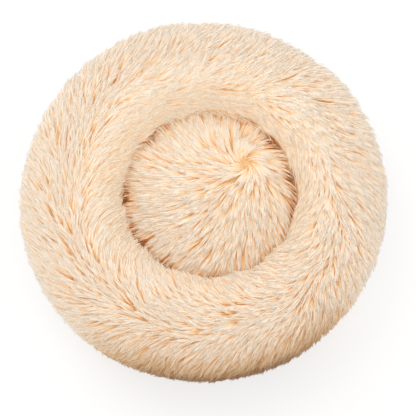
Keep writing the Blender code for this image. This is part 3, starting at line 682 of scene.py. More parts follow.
def pile_mesh(name, rings, tips, own, tuft_own, buried, pile, shade):
    """One mesh of many locks, with its bake map and the shares that its colours read."""
    total = len(tips)
    per_lock = len(LOCK_STATIONS) * LOCK_SIDES + 1
    vertices = np.concatenate([rings.reshape(total, -1, 3), tips[:, None]], axis=1)
    faces, spots = lock_pattern()
    sizes = np.array([len(face) for face in faces])
    corners = np.concatenate([np.array(face) for face in faces])
    mesh = bpy.data.meshes.new(name)
    mesh.vertices.add(total * per_lock)
    mesh.vertices.foreach_set("co", vertices.astype(np.float32).ravel())
    index = (corners[None, :] + (np.arange(total) * per_lock)[:, None]).ravel()
    mesh.loops.add(len(index))
    mesh.loops.foreach_set("vertex_index", index.astype(np.int32))
    face_sizes = np.tile(sizes, total)
    mesh.polygons.add(len(face_sizes))
    mesh.polygons.foreach_set("loop_start", (np.cumsum(face_sizes) - face_sizes).astype(np.int32))
    mesh.update(calc_edges=True)
    cells = int(math.ceil(math.sqrt(total)))
    corner = np.stack([np.arange(total) % cells, np.arange(total) // cells], axis=-1)
    spots = (spots[None] + corner[:, None]) / cells
    layer = mesh.uv_layers.new(name="OFBake")
    layer.data.foreach_set("uv", spots.astype(np.float32).ravel())
    along = np.concatenate([np.repeat(LOCK_STATIONS, LOCK_SIDES), [1.0]])
    shares = np.ones((total, per_lock, 4), np.float32)
    shares[..., 0] = along[None, :]
    shares[..., 1] = own[:, None]
    shares[..., 2] = tuft_own[:, None]
    # Painted shade and light: edge, crease and dark hold how much shade is painted between the locks, in the
    # crease, on the ring's front and on the well's wall. Fill holds how much light is painted inside the
    # well.
    under = np.array([*CORNER_SHADE * len(LOCK_STATIONS), TIP_SHADE])
    deep = BURIED_SHADE * buried[:, None] ** 2 * (1 - TIP_RELIEF * along[None, :])
    shaded = np.clip(deep + under[None, :], 0, 1)
    attribute = mesh.color_attributes.new("lock", "FLOAT_COLOR", "POINT")
    attribute.data.foreach_set("color", shares.ravel())
    for title, values in (
            ("edge", shaded), ("crease", crease_shade(pile, vertices, buried)),
            ("dark", shade(pile, vertices) * (1 - pile.tips_in_shade * along[None, :])),
            ("fill", well_painted_light(pile, vertices))):
        attribute = mesh.attributes.new(title, "FLOAT", "POINT")
        attribute.data.foreach_set("value", values.astype(np.float32).ravel())
    mesh.shade_smooth()
    return mesh


def add_piece(name, mesh, material):
    """Links a finished mesh as a piece that rides on the bed."""
    piece = bpy.data.objects.new(name, mesh)
    bpy.context.scene.collection.objects.link(piece)
    mesh.materials.append(material)
    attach(piece, BED)
    return piece


def select_nothing():
    """Clears the selection."""
    bpy.ops.object.select_all(action="DESELECT")


def node(tree, kind, **values):
    """A new shader node with these settings."""
    made = tree.nodes.new(kind)
    for name, value in values.items():
        setattr(made, name, value)
    return made


def set_inputs(made, values):
    """Puts constants on a node's own sockets."""
    for title, value in values.items():
        made.inputs[title].default_value = value


def new_material(name):
    """A material, its tree and its shader."""
    material = bpy.data.materials.new(name)
    material.use_nodes = True
    return material, material.node_tree, material.node_tree.nodes["Principled BSDF"]


def mix_colour(tree, share, first, second, blend="MIX"):
    """Mixes two colours or links; gives the output."""
    mixer = node(tree, "ShaderNodeMix", data_type="RGBA", blend_type=blend)
    for socket, value in ((mixer.inputs[0], share), (mixer.inputs[6], first), (mixer.inputs[7], second)):
        if isinstance(value, bpy.types.NodeSocket):
            tree.links.new(value, socket)
        elif isinstance(value, (int, float)):
            socket.default_value = value
        else:
            socket.default_value = (*value, 1)
    return mixer.outputs[2]


def maths(tree, operation, first, second=0.0, third=0.0):
    """A sum on numbers or links; gives the output."""
    made = node(tree, "ShaderNodeMath", operation=operation)
    for socket, value in zip(made.inputs, (first, second, third)):
        if isinstance(value, bpy.types.NodeSocket):
            tree.links.new(value, socket)
        else:
            socket.default_value = value
    return made.outputs[0]


def colour_ramp(tree, value, first, last, between=(), interpolation="LINEAR"):
    """A ramp from one colour to another, with others at places between; gives the output."""
    made = node(tree, "ShaderNodeValToRGB")
    made.color_ramp.interpolation = interpolation
    stops = made.color_ramp.elements
    stops[0].color, stops[1].color = (*first, 1), (*last, 1)
    for place, colour in between:
        stops.new(place).color = (*colour, 1)
    tree.links.new(value, made.inputs[0])
    return made.outputs[0]


def attribute_value(tree, name):
    """The share that a mesh attribute holds."""
    return node(tree, "ShaderNodeAttribute", attribute_name=name).outputs["Fac"]


def light_left(tree, attribute, third, half, full):
    """What is left of a colour where light is missing by the share in an attribute; gives the output."""
    return colour_ramp(
        tree, attribute_value(tree, attribute), (1, 1, 1), full, ((THIRD_PLACE, third), (HALF_PLACE, half)))


def pile_material(name, colours):
    """Long pile: dark warm roots, partly painted shade, cream tips, each lock and tuft a little different;
    shade is also painted between the locks, in the crease, on the ring's front and on the well's wall, and
    light is painted as emission through the pile and in the well.
    """
    material, tree, shader = new_material(name)
    shares = node(tree, "ShaderNodeVertexColor", layer_name="lock")
    split = node(tree, "ShaderNodeSeparateColor")
    tree.links.new(shares.outputs["Color"], split.inputs[0])
    along, own, tuft_own = split.outputs
    # Root to tip: the orange root and shaft are partly painted shade deep in the pile.
    lengthways = colour_ramp(
        tree, along, colours.root, colours.tip,
        ((SHAFT_PLACE, colours.shaft), (BODY_PLACE, colours.body)), "EASE")
    warm = mix_colour(
        tree, maths(tree, "MULTIPLY", own, colours.lock_variation), lengthways, colours.shade)
    pale = mix_colour(
        tree, maths(tree, "MULTIPLY", tuft_own, colours.tuft_variation), warm, colours.shade)
    # Painted shade between the locks: the edge colour on each lock's lower sides and on buried locks stands
    # in for the warm shade where light passes through neighbours.
    edge = maths(tree, "MULTIPLY", attribute_value(tree, "edge"), colours.edge_share)
    sides = mix_colour(tree, edge, pale, colours.edge)
    # Painted shade: the dark and crease ramps darken the colour on the ring's steep front, on the well's wall
    # and deep in the crease.
    left = mix_colour(
        tree, 1.0, light_left(tree, "dark", colours.third_dark, colours.half_dark, colours.dark),
        light_left(tree, "crease", colours.crease_third, colours.crease_half, colours.crease_dark),
        "MULTIPLY")
    tree.links.new(mix_colour(tree, 1.0, sides, left, "MULTIPLY"), shader.inputs["Base Color"])
    # Painted light: an emission from root to tip stands in for light passing through the pile. Painted light
    # is added inside the well, and the painted shade is taken off it too.
    glow = colour_ramp(tree, along, colours.root_glow, colours.tip_glow)
    filled = mix_colour(tree, attribute_value(tree, "fill"), glow, colours.fill_glow, "ADD")
    tree.links.new(mix_colour(tree, 1.0, filled, left, "MULTIPLY"), shader.inputs["Emission Color"])
    sheen = (*colours.warm_sheen, 1)
    set_inputs(shader, {
        "Emission Strength": 1, "Roughness": 0.55, "Specular IOR Level": 0.08, "Specular Tint": sheen,
        "Sheen Tint": sheen, "Sheen Weight": 0.05, "Sheen Roughness": 0.4})
    return material


def new_group(name, **inputs):
    """A shader group with these inputs, and a colour and a height as outputs."""
    group = bpy.data.node_groups.new(name, "ShaderNodeTree")
    for title, value in inputs.items():
        kind = "NodeSocketFloat" if isinstance(value, float) else "NodeSocketColor"
        socket = group.interface.new_socket(title, in_out="INPUT", socket_type=kind)
        socket.default_value = value if isinstance(value, float) else (*value, 1)
    group.interface.new_socket("Colour", in_out="OUTPUT", socket_type="NodeSocketColor")
    group.interface.new_socket("Height", in_out="OUTPUT", socket_type="NodeSocketFloat")
    return group, node(group, "NodeGroupInput"), node(group, "NodeGroupOutput")


def noise(tree, scale, detail=2.0, stretch=None):
    """Noise read by Object coordinates, stretched along an axis if asked; gives its output."""
    spot = node(tree, "ShaderNodeTexCoord").outputs["Object"]
    if stretch:
        mapping = node(tree, "ShaderNodeMapping")
        set_inputs(mapping, {"Scale": stretch})
        tree.links.new(spot, mapping.inputs["Vector"])
        spot = mapping.outputs[0]
    made = node(tree, "ShaderNodeTexNoise")
    set_inputs(made, {"Scale": scale, "Detail": detail})
    tree.links.new(spot, made.inputs["Vector"])
    return made.outputs[0]


def object_parts(tree):
    """The X, Y and Z of Object coordinates."""
    parts = node(tree, "ShaderNodeSeparateXYZ")
    tree.links.new(node(tree, "ShaderNodeTexCoord").outputs["Object"], parts.inputs[0])
    return parts.outputs


def end_group(group, entry, leave, height):
    """Ends a shader group: its shade low down, its colour high up, and its height."""
    colour = mix_colour(group, height, entry.outputs["Shade"], entry.outputs["Colour"])
    group.links.new(colour, leave.inputs["Colour"])
    group.links.new(height, leave.inputs["Height"])
    return group


def weave_group():
    """Plain-woven cloth: threads over and under each other, a little uneven."""
    group, entry, leave = new_group(
        "plain weave", Colour=(0.5, 0.5, 0.5), Shade=(0.3, 0.3, 0.3), Pitch=0.001)
    waves = []
    for part in object_parts(group)[:2]:
        turns = maths(group, "DIVIDE", part, entry.outputs["Pitch"])
        waves.append(maths(group, "SINE", maths(group, "MULTIPLY", turns, math.pi)))
    weave = maths(group, "MULTIPLY_ADD", maths(group, "MULTIPLY", *waves), 0.5, 0.5)
    uneven = maths(group, "MULTIPLY_ADD", noise(group, 60, 4.0), 0.5, -0.25)
    return end_group(group, entry, leave, maths(group, "ADD", weave, uneven))


def ribs_group():
    """Ribs across a band that runs round the bed: tape ribs, stitches or a zip tape's threads."""
    group, entry, leave = new_group(
        "ribs round the bed", Colour=(0.5, 0.5, 0.5), Shade=(0.3, 0.3, 0.3), Turns=1.0)
    across, forward, _ = object_parts(group)
    angle = maths(group, "ARCTAN2", forward, across)
    ribs = maths(group, "SINE", maths(group, "MULTIPLY", angle, entry.outputs["Turns"]))
    round_top = maths(group, "SQRT", maths(group, "ABSOLUTE", ribs))
    uneven = maths(group, "MULTIPLY_ADD", noise(group, 300, 3.0), 0.4, -0.2)
    return end_group(group, entry, leave, maths(group, "ADD", round_top, uneven))


def shared_group(name, make):
    """The group of this name, made the first time that it is asked for."""
    return bpy.data.node_groups.get(name) or make()


def add_bump(tree, shader, height, distance):
    """Lets a height between 0 and 1 raise the surface by a distance."""
    bump = node(tree, "ShaderNodeBump")
    set_inputs(bump, {"Strength": BUMP_STRENGTH, "Distance": distance})
    tree.links.new(height, bump.inputs["Height"])
    tree.links.new(bump.outputs[0], shader.inputs["Normal"])


def grouped_material(name, group, roughness, depth, **values):
    """A material whose colour and bump come from a shared group."""
    material, tree, shader = new_material(name)
    made = node(tree, "ShaderNodeGroup", node_tree=group)
    for title, value in values.items():
        made.inputs[title].default_value = value if isinstance(value, (int, float)) else (*value, 1)
    tree.links.new(made.outputs["Colour"], shader.inputs["Base Color"])
    add_bump(tree, shader, made.outputs["Height"], depth)
    shader.inputs["Roughness"].default_value = roughness
    return material


def noisy_material(name, dark, light, scale, roughness, depth, metallic=0.0, stretch=None):
    """A material that varies between two colours by noise, with the same noise as its bump."""
    material, tree, shader = new_material(name)
    grain = noise(tree, scale, 5.0, stretch)
    tree.links.new(mix_colour(tree, grain, dark, light), shader.inputs["Base Color"])
    add_bump(tree, shader, grain, depth)
    lowest = roughness - ROUGHNESS_SPREAD / 2
    uneven = maths(tree, "MULTIPLY_ADD", grain, ROUGHNESS_SPREAD, lowest)
    tree.links.new(uneven, shader.inputs["Roughness"])
    set_inputs(shader, {"Metallic": metallic})
    return material


def antislip_material(colours, dots_top):
    """Rubbery printed dots under a thin film that shows the cloth's weave."""
    material = grouped_material(
        "anti-slip print", shared_group("plain weave", weave_group), roughness=0.75, depth=0.05 * MM,
        Colour=colours.base_cloth, Shade=colours.base_shade, Pitch=WEAVE_PITCH)
    tree = material.node_tree
    shader = tree.nodes["Principled BSDF"]
    cloth = shader.inputs["Base Color"].links[0].from_socket
    film = maths(tree, "GREATER_THAN", object_parts(tree)[2], dots_top)
    speck = mix_colour(tree, noise(tree, 900), colours.dots, tuple(1.6 * part for part in colours.dots))
    tree.links.new(mix_colour(tree, film, speck, cloth), shader.inputs["Base Color"])
    tree.links.new(maths(tree, "MULTIPLY_ADD", film, 0.3, 0.45), shader.inputs["Roughness"])
    return material


def finishes(colours, sizes):
    """A material for each finish that the part's record names."""
    weave = shared_group("plain weave", weave_group)
    ribs = shared_group("ribs round the bed", ribs_group)
    tape, shade = colours.tape, colours.tape_shade
    dark_coil = tuple(0.8 * part for part in colours.coil)
    return {
        "plush": noisy_material(
            "knitted backing", colours.root, colours.shaft, scale=420, roughness=0.9, depth=0.4 * MM),
        "liner": noisy_material(
            "nonwoven liner", (0.62, 0.61, 0.58), (0.86, 0.85, 0.82), scale=260, roughness=0.9,
            depth=0.1 * MM),
        "filling": noisy_material(
            "fibre filling", (0.78, 0.78, 0.76), (0.95, 0.95, 0.93), scale=90, roughness=0.95, depth=2 * MM),
        "base_cloth": grouped_material(
            "base cloth", weave, roughness=0.8, depth=0.1 * MM, Colour=colours.base_cloth,
            Shade=colours.base_shade, Pitch=WEAVE_PITCH),
        "rubber": antislip_material(colours, sizes.dots_top),
        "tape": grouped_material(
            "ribbed tape", ribs, roughness=0.85, depth=0.25 * MM, Colour=tape, Shade=shade, Turns=540.0),
        "thread": grouped_material(
            "sewing thread", ribs, roughness=0.6, depth=0.3 * MM, Colour=colours.thread, Shade=shade,
            Turns=270.0),
        "zip_tape": grouped_material(
            "woven zip tape", ribs, roughness=0.8, depth=0.12 * MM, Colour=tape, Shade=shade, Turns=1500.0),
        "coil": noisy_material(
            "nylon coil", dark_coil, colours.coil, scale=700, roughness=0.4, depth=0.02 * MM),
        "metal": noisy_material(
            "plated zinc", (0.42, 0.40, 0.37), (0.66, 0.63, 0.59), scale=800, roughness=0.35,
            depth=0.02 * MM, metallic=1.0, stretch=(1, 1, 5)),
    }


def turned_shell(name, outline, steps):
    """A closed shell from an outline of radius and height, spun round the Z axis in edit mode."""
    select_nothing()
    bpy.ops.mesh.primitive_circle_add(vertices=len(outline), fill_type="NOTHING")
    shell = bpy.context.object
    shell.name = shell.data.name = name
    for vertex, (radius, height) in zip(shell.data.vertices, outline):
        vertex.co = (radius, 0, height)
    bpy.ops.object.mode_set(mode="EDIT")
    bpy.ops.mesh.select_all(action="SELECT")
    bpy.ops.mesh.spin(steps=steps, angle=FULL_TURN, center=(0, 0, 0), axis=(0, 0, 1))
    bpy.ops.mesh.select_all(action="SELECT")
    bpy.ops.mesh.remove_doubles(threshold=WELD_GAP)
    bpy.ops.mesh.normals_make_consistent(inside=False)
    bpy.ops.object.mode_set(mode="OBJECT")
    bpy.ops.object.shade_smooth()
    return shell


def settle_piece(piece, shape):
    """Moves a piece's points as the soft bed settles."""
    count = len(piece.data.vertices)
    places = np.empty(count * 3, np.float32)
    piece.data.vertices.foreach_get("co", places)
    places = shape.settled(places.reshape(-1, 3).astype(float))
    piece.data.vertices.foreach_set("co", places.astype(np.float32).ravel())
    piece.data.update()


class BedSizes(bpy.types.PropertyGroup):
    """Overall sizes, the same as the CAD model's."""

    bed_diameter: FloatProperty(
        name="Bed diameter", description="Across the pile as it lies", default=600 * MM, unit="LENGTH")
    bed_height: FloatProperty(
        name="Bed height", description="Floor to the crest of the ring", default=180 * MM, unit="LENGTH")
    well_diameter: FloatProperty(
        name="Well diameter", description="Across the well inside the ring", default=280 * MM, unit="LENGTH")
    cushion_height: FloatProperty(
        name="Cushion height", description="Floor to the middle of the cushion", default=112 * MM,
        unit="LENGTH")
    pile_depth: FloatProperty(
        name="Pile depth", description="Backing and pile as it lies", default=14.5 * MM, unit="LENGTH")
    crease_gap: FloatProperty(
        name="Crease gap", description="Between the ring's pile and the cushion's", default=3 * MM,
        unit="LENGTH")
    insert_bottom: FloatProperty(
        name="Insert height", description="Floor to the underside of the stuffing", default=3.4 * MM,
        unit="LENGTH")
    dots_top: FloatProperty(
        name="Dots' top", description="Floor to just under the film that joins the anti-slip dots",
        default=0.85 * MM, unit="LENGTH")
    zip_start: FloatProperty(
        name="Zip start", description="Open end of the zip, round the bed from +X", default=15 * DEGREE,
        subtype="ANGLE")
    zip_segments: IntProperty(
        name="Zip segments", description="Straight runs of the zip's tape", default=20)
    segments_round: IntProperty(
        name="Segments round", description="Straight runs in a full turn of the bed", default=48)
    coil_wire: FloatProperty(
        name="Coil wire", description="Thickness of the zip coil's wire", default=0.56 * MM, unit="LENGTH")
    coil_pitch: FloatProperty(
        name="Coil pitch", description="Between the coil's turns", default=1.35 * MM, unit="LENGTH")
    ring_fullness: FloatProperty(
        name="Ring fullness", description="2 is an ellipse, more is squarer", default=2.3)
    cushion_fullness: FloatProperty(
        name="Cushion fullness", description="2 is an ellipse, more is flatter on top", default=2.6)


class PileSettings(bpy.types.PropertyGroup):
    """How long, dense and combed the pile is, and where shade and light are painted on it."""

    tuft_spacing: FloatProperty(
        name="Tuft spacing", description="Between the roots of neighbouring tufts", default=5.1 * MM,
        unit="LENGTH")
    locks_per_tuft: IntProperty(
        name="Locks in a tuft", description="How many locks draw together into one tuft", default=5)
    lock_length: FloatProperty(
        name="Lock length", description="Root to tip", default=44 * MM, unit="LENGTH")
    lock_width: FloatProperty(
        name="Lock width", description="Across a lock at its widest", default=2.0 * MM, unit="LENGTH")
    lock_flatness: FloatProperty(
        name="Lock flatness", description="Thickness over width", default=0.6)
    shortest_lock: FloatProperty(
        name="Shortest lock", description="Share of the full length", default=0.72)
    tuft_radius: FloatProperty(
        name="Tuft radius", description="How far a tuft's locks stand apart at the root", default=3.0 * MM,
        unit="LENGTH")
    tuft_thickness: FloatProperty(
        name="Tuft thickness", description="How deep a tuft's locks lie over each other", default=3.2 * MM,
        unit="LENGTH")
    drawn_together: FloatProperty(
        name="Drawn together", description="How much a tuft narrows to its tip", default=0.8)
    lift: FloatProperty(
        name="Lift", description="How high the tips lie over the backing", default=11.5 * MM, unit="LENGTH")
    lift_at_rim: FloatProperty(
        name="Less lift at the rim", description="How much lower the pile lies on the side",
        default=3 * MM, unit="LENGTH")
    lift_at_crease: FloatProperty(
        name="Less lift in the crease", description="How much lower the pile lies in the well",
        default=1.5 * MM, unit="LENGTH")
    lift_variation: FloatProperty(
        name="Lift variation", description="How unlike the tufts' heights are", default=2.6 * MM,
        unit="LENGTH")
    rise_power: FloatProperty(
        name="Rise", description="How soon a lock rises from its root", default=2.2)
    stiffness: FloatProperty(
        name="Stiffness", description="How much locks keep straight over a bend", default=0.06)
    cushion_stiffness: FloatProperty(
        name="Cushion stiffness", description="The same on the cushion", default=0.5)
    bow: FloatProperty(name="Bow", description="Sideways bow of a lock", default=0.8 * MM, unit="LENGTH")
    stray: FloatProperty(name="Stray", description="Sideways stray of a tip", default=1.6 * MM, unit="LENGTH")
    flick: FloatProperty(
        name="Flick", description="Up or down flick of a tip", default=0.9 * MM, unit="LENGTH")
    backing_outset: FloatProperty(
        name="Backing outset", description="Backing's face over the stuffed bag", default=2.6 * MM,
        unit="LENGTH")
    cushion_backing_inset: FloatProperty(
        name="Cushion backing inset", description="Backing's face under the cushion's pile",
        default=8 * MM, unit="LENGTH")
    rim_length: FloatProperty(
        name="Crest to rim", description="Along the section", default=112 * MM, unit="LENGTH")
    crease_length: FloatProperty(
        name="Crest to crease", description="Along the section", default=95 * MM, unit="LENGTH")
    fall: FloatProperty(
        name="Fall", description="Turn of the nap down the side", default=80 * DEGREE, subtype="ANGLE")
    comb_noise: FloatProperty(
        name="Unevenness", description="How much the nap wanders", default=8 * DEGREE, subtype="ANGLE")
    comb_wave: FloatProperty(
        name="Unevenness length", description="Over what length the nap wanders", default=110 * MM,
        unit="LENGTH")
    tuft_turn: FloatProperty(
        name="Tuft turn", description="How unlike neighbouring tufts lie", default=9 * DEGREE,
        subtype="ANGLE")
    hang_inset: FloatProperty(
        name="Hanging root inset", description="Roots under the side lie behind the hanging pile",
        default=8 * MM, unit="LENGTH")
    floor_gap: FloatProperty(
        name="Floor gap", description="Lowest pile over the floor", default=1 * MM, unit="LENGTH")
    floor_bend: FloatProperty(
        name="Floor bend", description="Radius at which hanging pile turns out on the floor",
        default=9 * MM, unit="LENGTH")
    floor_spread: FloatProperty(
        name="Floor spread", description="How far pile may lie out on the floor", default=3 * MM,
        unit="LENGTH")
    crease_drop: FloatProperty(
        name="Crease drop", description="How far the cushion's pile may hang past its seam",
        default=12 * MM, unit="LENGTH")
    whorl_place: FloatVectorProperty(
        name="Whorl place", description="Where the cushion's pile parts, in plan", size=2,
        default=(72 * MM, 62 * MM), subtype="XYZ", unit="LENGTH")
    whorl_turn: FloatProperty(
        name="Whorl turn", description="Turn of the nap all round the whorl", default=22 * DEGREE,
        subtype="ANGLE")
    whorl_turn_behind: FloatProperty(
        name="Whorl turn behind", description="How much more behind it and less in front",
        default=12 * DEGREE, subtype="ANGLE")
    whorl_twist: FloatProperty(
        name="Whorl twist", description="Further turn close to the whorl", default=50 * DEGREE,
        subtype="ANGLE")
    whorl_tufts: IntProperty(
        name="Whorl tufts", description="How many more tufts hide its middle", default=40)
    whorl_radius: FloatProperty(
        name="Whorl radius", description="How far out they stand", default=15 * MM, unit="LENGTH")
    cushion_scale: FloatProperty(
        name="Cushion tufts", description="Size of the cushion's tufts over the ring's", default=1.3)
    cushion_locks: IntProperty(
        name="Locks in a cushion tuft", description="How many locks draw together into one tuft", default=7)
    cushion_lock_width: FloatProperty(
        name="Cushion lock width", description="Across a lock on the cushion at its widest",
        default=2.3 * MM, unit="LENGTH")
    cushion_tuft_turn: FloatProperty(
        name="Cushion tuft turn", description="How unlike neighbouring tufts lie on the cushion",
        default=5 * DEGREE, subtype="ANGLE")
    fringe_fill: FloatProperty(
        name="Fringe fill", description="How much higher the cushion's pile lies at its rim",
        default=12 * MM, unit="LENGTH")
    fringe_reach: FloatProperty(
        name="Fringe reach", description="Width of the cushion's rim that it covers", default=40 * MM,
        unit="LENGTH")
    # Painted shade on the ring's steep front: its heights, how much of it the tips take and its lean.
    shade_bottom: FloatProperty(
        name="Shade bottom", description="Height at which the steep front is darkest", default=72 * MM,
        unit="LENGTH")
    shade_top: FloatProperty(
        name="Shade top", description="Height at which its shade ends", default=178 * MM, unit="LENGTH")
    tips_in_shade: FloatProperty(
        name="Tips in shade", description="How much less the tips take of it", default=0.2)
    shade_turn: FloatProperty(
        name="Shade turn", description="How far the front's shade leans to the right", default=8 * DEGREE,
        subtype="ANGLE")
    gap_share: FloatProperty(
        name="Gaps", description="Share of the tufts left out where the piles part", default=0.55)
    gap_reach: FloatProperty(
        name="Gap reach", description="How far from the crease they end", default=14 * MM, unit="LENGTH")
    # Painted light inside the well: where it starts, is full and fades, and how much of it is in front.
    fill_rise: FloatVectorProperty(
        name="Fill rise", size=2,
        description="Where the light inside the well starts and is full, from its middle",
        default=(112 * MM, 140 * MM), unit="LENGTH")
    fill_fall: FloatVectorProperty(
        name="Fill fall", size=2,
        description="Where the light inside the well fades and ends, from its middle",
        default=(165 * MM, 235 * MM), unit="LENGTH")
    fill_in_front: FloatProperty(
        name="Fill in front", description="That light at the front over that at the back", default=0.35)
    # Painted shade on the well's wall: how much darker its roots are painted, and where.
    wall_shade: FloatProperty(
        name="Well shade", description="How much darker roots are on the well's wall", default=0.1)
    wall_shade_reach: FloatVectorProperty(
        name="Well shade reach", size=2,
        description="Where it starts to fade and where it ends, from the well's middle",
        default=(145 * MM, 195 * MM), unit="LENGTH")
    crease_radius: FloatProperty(
        name="Crease", description="Where the two piles meet, from the well's middle", default=140 * MM,
        unit="LENGTH")
    crease_shade: FloatProperty(
        name="Crease shade", description="How far the crease's shade reaches sideways", default=10 * MM,
        unit="LENGTH")
    crease_bottom: FloatProperty(
        name="Crease bottom", description="Height at which the crease is darkest", default=86 * MM,
        unit="LENGTH")
    crease_top: FloatProperty(
        name="Crease top", description="Height at which its shade ends", default=102 * MM, unit="LENGTH")
    crease_all_round: FloatProperty(
        name="Crease all round", description="Its shade where the piles meet, over where they part",
        default=0.5)
    crease_lean: FloatProperty(
        name="Crease lean", description="How much lower the wall's pile lies on the right than in front",
        default=4.5 * MM, unit="LENGTH")
    crease_sides: FloatProperty(
        name="Crease sides", description="How much lower the wall's pile lies on the left and right",
        default=3.5 * MM, unit="LENGTH")
    crease_shift: FloatProperty(
        name="Crease shift", description="How far the crease lies to the right of the well's middle",
        default=2.5 * MM, unit="LENGTH")
    whorl_reach: FloatProperty(
        name="Whorl reach", description="How far its twist reaches", default=20 * MM, unit="LENGTH")
    seed: IntProperty(name="Seed", description="Start of the scatter", default=7)


class PileColours(bpy.types.PropertyGroup):
    """Colours from root to tip, with the painted shade and painted light of the pile."""

    # Partly painted shade: on the pile, the orange root and shaft are partly the pile's own colour and partly
    # stand in for the shade deep between the locks. The knitted backing takes them as its own colour.
    root: FloatVectorProperty(
        name="Root", description="Deep in the pile", size=3, subtype="COLOR", default=(0.84, 0.47, 0.18))
    shaft: FloatVectorProperty(
        name="Shaft", description="A third of the way up", size=3, subtype="COLOR",
        default=(0.90, 0.70, 0.42))
    body: FloatVectorProperty(
        name="Body", description="Most of what shows", size=3, subtype="COLOR", default=(0.83, 0.845, 0.835))
    tip: FloatVectorProperty(
        name="Tip", description="Ends of the locks", size=3, subtype="COLOR", default=(0.82, 0.85, 0.87))
    shade: FloatVectorProperty(
        name="Shade", description="Warmer locks", size=3, subtype="COLOR", default=(0.835, 0.80, 0.73))
    # Painted shade: the edge colour stands in for the warm shade between the locks, where light passes
    # through neighbours.
    edge: FloatVectorProperty(
        name="Edge", description="Sides of the locks, where light passes through neighbours", size=3,
        subtype="COLOR", default=(0.86, 0.57, 0.28))
    edge_share: FloatProperty(
        name="Edge strength", description="How much of it the sides take", default=0.5)
    third_dark: FloatVectorProperty(
        name="A third dark", description="What is left of a colour where a little light is missing", size=3,
        subtype="COLOR", default=(0.86, 0.72, 0.55))
    half_dark: FloatVectorProperty(
        name="Half dark", description="What is left of it where half is missing", size=3, subtype="COLOR",
        default=(0.65, 0.47, 0.30))
    dark: FloatVectorProperty(
        name="Dark", description="What is left of it deep between the locks", size=3, subtype="COLOR",
        default=(0.22, 0.09, 0.03))
    crease_third: FloatVectorProperty(
        name="Crease, a third dark", description="The same in the crease, where it is warmer", size=3,
        subtype="COLOR", default=(0.84, 0.60, 0.36))
    crease_half: FloatVectorProperty(
        name="Crease, half dark", description="The same in the crease where half is missing", size=3,
        subtype="COLOR", default=(0.56, 0.25, 0.08))
    crease_dark: FloatVectorProperty(
        name="Crease, dark", description="The same deep in the crease", size=3, subtype="COLOR",
        default=(0.18, 0.035, 0.005))
    warm_sheen: FloatVectorProperty(
        name="Sheen", description="Tint of the pile's soft shine", size=3, subtype="COLOR",
        default=(1.0, 0.82, 0.62))
    # Painted light: emission that stands in for the light that the pile throws about inside the well.
    fill_glow: FloatVectorProperty(
        name="Fill", description="Light that the pile throws about inside the well", size=3, subtype="COLOR",
        default=(0.085, 0.09, 0.08))
    # Painted light: the root and tip glows are emission that stands in for light passing through the pile.
    root_glow: FloatVectorProperty(
        name="Root glow", description="Light that reaches the roots through the pile", size=3,
        subtype="COLOR", default=(0.24, 0.13, 0.05))
    tip_glow: FloatVectorProperty(
        name="Tip glow", description="Light that passes through the tips", size=3,
        subtype="COLOR", default=(0.185, 0.172, 0.15))
    base_cloth: FloatVectorProperty(
        name="Base cloth", description="Threads of the cloth under the bed", size=3, subtype="COLOR",
        default=(0.16, 0.11, 0.075))
    base_shade: FloatVectorProperty(
        name="Base cloth shade", description="Between its threads", size=3, subtype="COLOR",
        default=(0.07, 0.045, 0.03))
    dots: FloatVectorProperty(
        name="Anti-slip dots", description="Printed rubbery dots", size=3, subtype="COLOR",
        default=(0.014, 0.011, 0.009))
    tape: FloatVectorProperty(
        name="Tape", description="Seam, edge and zip tapes", size=3, subtype="COLOR",
        default=(0.42, 0.27, 0.15))
    tape_shade: FloatVectorProperty(
        name="Tape shade", description="Between their ribs", size=3, subtype="COLOR",
        default=(0.20, 0.11, 0.05))
    thread: FloatVectorProperty(
        name="Thread", description="Sewing thread", size=3, subtype="COLOR", default=(0.58, 0.40, 0.24))
    coil: FloatVectorProperty(
        name="Coil", description="Nylon zip coil", size=3, subtype="COLOR", default=(0.48, 0.32, 0.18))
    lock_variation: FloatProperty(
        name="Lock variation", description="How unlike single locks are", default=0.35)
    tuft_variation: FloatProperty(
        name="Tuft variation", description="How unlike whole tufts are", default=0.25)


class StageSettings(bpy.types.PropertyGroup):
    """Camera and light."""

    elevation: FloatProperty(
        name="Camera elevation", description="Above the horizon", default=76 * DEGREE, subtype="ANGLE")
    distance: FloatProperty(
        name="Camera distance", description="To the middle of the bed", default=2.6, unit="LENGTH")
    view_width: FloatProperty(
        name="View width", description="Width of the picture at the bed's middle", default=684 * MM,
        unit="LENGTH")
    aim: FloatVectorProperty(
        name="Aim", description="Where the camera looks", size=3, default=(0.009, -0.012, 0.085),
        subtype="XYZ", unit="LENGTH")
    sky_colour: FloatVectorProperty(
        name="Sky colour", description="Colour of the light from all round", size=3, subtype="COLOR",
        default=(1.0, 0.95, 0.89))
    floor_colour: FloatVectorProperty(
        name="Floor", description="The floor's colour, made white by the sky's", size=3, subtype="COLOR",
        default=(0.36, 0.375, 0.395))
    sky: FloatProperty(
        name="Sky", description="Strength of the soft light, which fades low in front", default=0.95)
    floor_glow: FloatProperty(
        name="Floor glow", description="Light of the white floor itself", default=0.64)
    key: FloatProperty(name="Key light", description="Power of the large lamp", default=14, unit="POWER")
    fill: FloatProperty(name="Fill light", description="Power of the second lamp", default=4, unit="POWER")


class PetBed(bpy.types.PropertyGroup):
    """All settings of the bed."""

    sizes: PointerProperty(type=BedSizes)
    pile: PointerProperty(type=PileSettings)
    colours: PointerProperty(type=PileColours)
    stage: PointerProperty(type=StageSettings)


